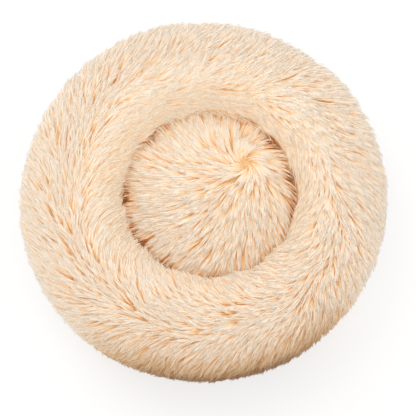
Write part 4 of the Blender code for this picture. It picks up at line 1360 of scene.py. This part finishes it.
class PETBED_OT_backing(bpy.types.Operator):
    """Make the plush's knitted backing on the ring and on the cushion"""

    bl_idname = "petbed.backing"
    bl_label = "Plush backing"

    def execute(self, context):
        bed = context.scene.pet_bed
        shape, pile = BedShape(bed.sizes), bed.pile
        material = bpy.data.materials["knitted backing"]
        angles = np.linspace(EDGE_ANGLE, SEAM_ANGLE, RING_BACKING_STEPS)
        outside, _ = shape.ring_section(angles, pile.backing_outset)
        inside, _ = shape.ring_section(angles[::-1], RING_BACKING_INSIDE)
        outline = np.concatenate([outside, inside])
        ring = turned_shell("bolster_plush_backing", outline, BACKING_TURN_STEPS)
        settle_piece(ring, shape)
        ring.data.materials.append(material)
        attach(ring, BED)
        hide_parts("bolster_cover")

        angles = np.linspace(CREST_ANGLE, 0, CUSHION_BACKING_STEPS)
        inset = pile.cushion_backing_inset
        outside, _ = shape.cushion_section(angles, inset)
        inside, _ = shape.cushion_section(angles[::-1], inset + CUSHION_BACKING_THICKNESS)
        outline = np.concatenate([outside, inside])
        outline[0, 0] = outline[-1, 0] = 0
        dome = turned_shell("cushion_plush_backing", outline, BACKING_TURN_STEPS)
        settle_piece(dome, shape)
        dome.data.materials.append(material)
        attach(dome, BED)
        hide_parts("cushion_cover")
        return {"FINISHED"}


def add_pile(
        name, angle, points, normals, sectors, pile, scale, locks, lock_width, shade, material, rng):
    """Turns traced tufts into pieces, one for each sector of the bed that their roots stand in."""
    rings, tips, own, tuft_own, buried = grow_locks(points, normals, pile, scale, locks, lock_width, rng)
    sector = ((angle % FULL_TURN) / FULL_TURN * sectors).astype(int) % sectors
    sector = np.repeat(sector, locks)
    for index in range(sectors):
        here = sector == index
        piece_name = f"{name}_{index + 1:02d}"
        mesh = pile_mesh(
            piece_name, rings[here], tips[here], own[here], tuft_own[here], buried[here], pile, shade)
        add_piece(piece_name, mesh, material)


class PETBED_OT_ring_pile(bpy.types.Operator):
    """Grow and comb the long pile on the ring"""

    bl_idname = "petbed.ring_pile"
    bl_label = "Ring pile"

    def execute(self, context):
        bed = context.scene.pet_bed
        shape, pile = BedShape(bed.sizes), bed.pile
        rng = np.random.default_rng(pile.seed)
        profile = ring_profile(shape, pile)
        first = profile.length[0] + RING_FIRST_ROW
        last = pile.rim_length + RING_LAST_ROW
        angle, length = scattered_rows(profile, first, last, pile.tuft_spacing, rng)
        count = len(angle)
        calm = 1 - CALM_SHARE * rise_over(length, pile.rim_length, CALM_REACH)
        lift = pile.lift + calm * rng.normal(0, pile.lift_variation, count)
        lift = np.clip(lift, RING_LOWEST_LIFT, pile.lift + RING_HIGHEST_OVER)
        turn = rng.normal(0, pile.tuft_turn, count)
        long = pile.lock_length * rng.uniform(*RING_LENGTHS, count)
        points, normals = trace_ring(shape, pile, profile, angle, length, long, lift, turn)
        points = stiffened(points, pile.stiffness)
        material = pile_material("shag pile", bed.colours)
        add_pile(
            "bolster_pile", angle, points, normals, RING_SECTORS, pile, 1, pile.locks_per_tuft,
            pile.lock_width, ring_shade, material, rng)
        return {"FINISHED"}


class PETBED_OT_cushion_pile(bpy.types.Operator):
    """Grow and comb the pile on the cushion, out from its whorl"""

    bl_idname = "petbed.cushion_pile"
    bl_label = "Cushion pile"

    def execute(self, context):
        bed = context.scene.pet_bed
        shape, pile = BedShape(bed.sizes), bed.pile
        rng = np.random.default_rng(pile.seed + 1)
        profile = cushion_profile(shape, pile)
        last = profile.length[-1] - pile.crease_drop - CUSHION_LAST_ROW
        scale = pile.cushion_scale
        angle, length = scattered_rows(
            profile, CUSHION_FIRST_ROW, last, pile.tuft_spacing * scale, rng)
        more_angle, more_length = whorl_roots(pile, profile, rng)
        angle, length = np.concatenate([angle, more_angle]), np.concatenate([length, more_length])
        count = len(angle)
        lift = pile.lift * CUSHION_LIFT_SHARE + rng.normal(0, pile.lift_variation, count)
        lift = np.clip(lift, *CUSHION_LIFTS)
        turn = rng.normal(0, pile.cushion_tuft_turn, count)
        long = pile.lock_length * rng.uniform(*CUSHION_LENGTHS, count)
        points, normals = trace_cushion(shape, pile, profile, angle, length, long, lift, turn)
        points = stiffened(points, pile.cushion_stiffness)
        kept = outside_gaps(shape, pile, points[:, -1], rng)
        material = bpy.data.materials["shag pile"]
        add_pile(
            "cushion_pile", angle[kept], points[kept], normals[kept], CUSHION_SECTORS, pile, scale,
            pile.cushion_locks, pile.cushion_lock_width, no_shade, material, rng)
        return {"FINISHED"}


def coil_path(sizes, low, high):
    """The middle of a zip coil's wire: a round spiral along the straight runs of its CAD bead.

    The bead's box gives its height and how far out it lies.
    """
    radius, height = high[0] / math.cos(sizes.zip_start), (low[2] + high[2]) / 2
    bead = (high[2] - low[2]) / 2
    run = FULL_TURN / sizes.segments_round
    middle = radius - bead / math.cos(run / 2)
    turns = int(sizes.zip_segments * run * middle / sizes.coil_pitch)
    reach = bead - sizes.coil_wire / 2
    points = []
    for step in range(turns * COIL_POINTS + 1):
        share = step / (turns * COIL_POINTS)
        along = share * sizes.zip_segments * run
        straight = middle * math.cos(run / 2) / math.cos(along % run - run / 2)
        spin = FULL_TURN * step / COIL_POINTS
        out = straight + reach * math.cos(spin)
        angle = sizes.zip_start + along
        points.append((out * math.cos(angle), out * math.sin(angle), height + reach * math.sin(spin)))
    return points


class PETBED_OT_zip_coils(bpy.types.Operator):
    """Wind the zip's two nylon coils"""

    bl_idname = "petbed.zip_coils"
    bl_label = "Zip coils"

    def execute(self, context):
        bed = context.scene.pet_bed
        for node_name, name in (
                ("zip_coil_lower", "zip_spiral_lower"), ("zip_coil_upper", "zip_spiral_upper")):
            curve = bpy.data.curves.new(name, "CURVE")
            curve.dimensions = "3D"
            curve.bevel_depth = bed.sizes.coil_wire / 2
            curve.bevel_resolution = 0
            curve.use_fill_caps = True
            path = coil_path(bed.sizes, *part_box(node_name))
            spline = curve.splines.new("POLY")
            spline.points.add(len(path) - 1)
            for point, place in zip(spline.points, path):
                point.co = (*place, 1)
            spiral = bpy.data.objects.new(name, curve)
            context.scene.collection.objects.link(spiral)
            select_nothing()
            spiral.select_set(True)
            context.view_layer.objects.active = spiral
            bpy.ops.object.convert(target="MESH")
            bpy.ops.object.shade_smooth()
            spiral = context.object
            spiral.data.materials.clear()
            spiral.data.materials.append(frame["nodes"][node_name].data.materials[0])
            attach(spiral, BED)
            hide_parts(node_name)
        return {"FINISHED"}


class PETBED_OT_finishes(bpy.types.Operator):
    """Give each CAD node that stays its cloth, tape, thread, rubber or metal finish"""

    bl_idname = "petbed.finishes"
    bl_label = "Finishes"

    def execute(self, context):
        bed = context.scene.pet_bed
        made = finishes(bed.colours, bed.sizes)
        for subpart in frame["record"]["subparts"]:
            slots = frame["nodes"][subpart["node"]].data.materials
            slots.clear()
            slots.append(made[subpart["material_slot"]])
        return {"FINISHED"}


class PETBED_OT_stage(bpy.types.Operator):
    """Set up the floor, the light and the camera"""

    bl_idname = "petbed.stage"
    bl_label = "Stage"

    def execute(self, context):
        stage = context.scene.pet_bed.stage
        scene = context.scene
        scene.view_settings.view_transform = "Standard"
        select_nothing()
        bpy.ops.mesh.primitive_plane_add(size=FLOOR_SIZE)
        floor = context.object
        floor.name = "floor"
        material, tree, shader = new_material("pale floor")
        set_inputs(shader, {
            "Base Color": (*stage.floor_colour, 1), "Roughness": 0.9, "Emission Color": (1, 1, 1, 1),
            "Emission Strength": stage.floor_glow})
        side = node(tree, "ShaderNodeNewGeometry")
        tree.links.new(maths(tree, "SUBTRACT", 1.0, side.outputs["Backfacing"]), shader.inputs["Alpha"])
        floor.data.materials.append(material)

        world = bpy.data.worlds.new("studio")
        world.use_nodes = True
        tree = world.node_tree
        sky = tree.nodes["Background"]
        way = node(tree, "ShaderNodeTexCoord")
        parts = node(tree, "ShaderNodeSeparateXYZ")
        tree.links.new(way.outputs["Generated"], parts.inputs[0])
        behind = maths(tree, "MULTIPLY_ADD", parts.outputs[1], SKY_TILT, parts.outputs[2])
        fade = node(tree, "ShaderNodeMapRange", interpolation_type="SMOOTHSTEP")
        tree.links.new(behind, fade.inputs["Value"])
        set_inputs(fade, SKY_FADE)
        tree.links.new(maths(tree, "MULTIPLY", fade.outputs[0], stage.sky), sky.inputs["Strength"])
        set_inputs(sky, {"Color": (*stage.sky_colour, 1)})
        scene.world = world

        for name, place, size, power in (
                ("key light", KEY_PLACE, KEY_SIZE, stage.key),
                ("fill light", FILL_PLACE, FILL_SIZE, stage.fill)):
            lamp = bpy.data.lights.new(name, "AREA")
            lamp.shape = "DISK"
            lamp.size = size
            lamp.energy = power
            item = bpy.data.objects.new(name, lamp)
            item.location = place
            item.rotation_euler = (-Vector(place)).to_track_quat("-Z", "Y").to_euler()
            scene.collection.objects.link(item)

        camera = bpy.data.cameras.new("camera")
        camera.sensor_width = SENSOR_WIDTH
        camera.lens = camera.sensor_width * stage.distance / stage.view_width
        camera.clip_end = CLIP_END
        item = bpy.data.objects.new("camera", camera)
        aim = Vector(stage.aim)
        back = Vector((0, -math.cos(stage.elevation), math.sin(stage.elevation)))
        item.location = aim + back * stage.distance
        item.rotation_euler = (-back).to_track_quat("-Z", "Y").to_euler()
        scene.collection.objects.link(item)
        scene.camera = item
        return {"FINISHED"}


class PETBED_PT_panel(bpy.types.Panel):
    """The bed's pieces in the sidebar"""

    bl_idname = "PETBED_PT_panel"
    bl_label = "Pet bed"
    bl_space_type = "VIEW_3D"
    bl_region_type = "UI"
    bl_category = "Pet bed"

    def draw(self, context):
        for operator in OPERATORS:
            self.layout.operator(operator.bl_idname)


OPERATORS = (
    PETBED_OT_finishes, PETBED_OT_backing, PETBED_OT_ring_pile, PETBED_OT_cushion_pile,
    PETBED_OT_zip_coils, PETBED_OT_stage)
CLASSES = (BedSizes, PileSettings, PileColours, StageSettings, PetBed, *OPERATORS, PETBED_PT_panel)


def register():
    for item in CLASSES:
        bpy.utils.register_class(item)
    bpy.types.Scene.pet_bed = PointerProperty(type=PetBed)


def unregister():
    del bpy.types.Scene.pet_bed
    for item in reversed(CLASSES):
        bpy.utils.unregister_class(item)


def main():
    register()
    bpy.ops.petbed.finishes()
    bpy.ops.petbed.backing()
    bpy.ops.petbed.ring_pile()
    bpy.ops.petbed.cushion_pile()
    bpy.ops.petbed.zip_coils()
    bpy.ops.petbed.stage()


if __name__ == "__main__":
    main()
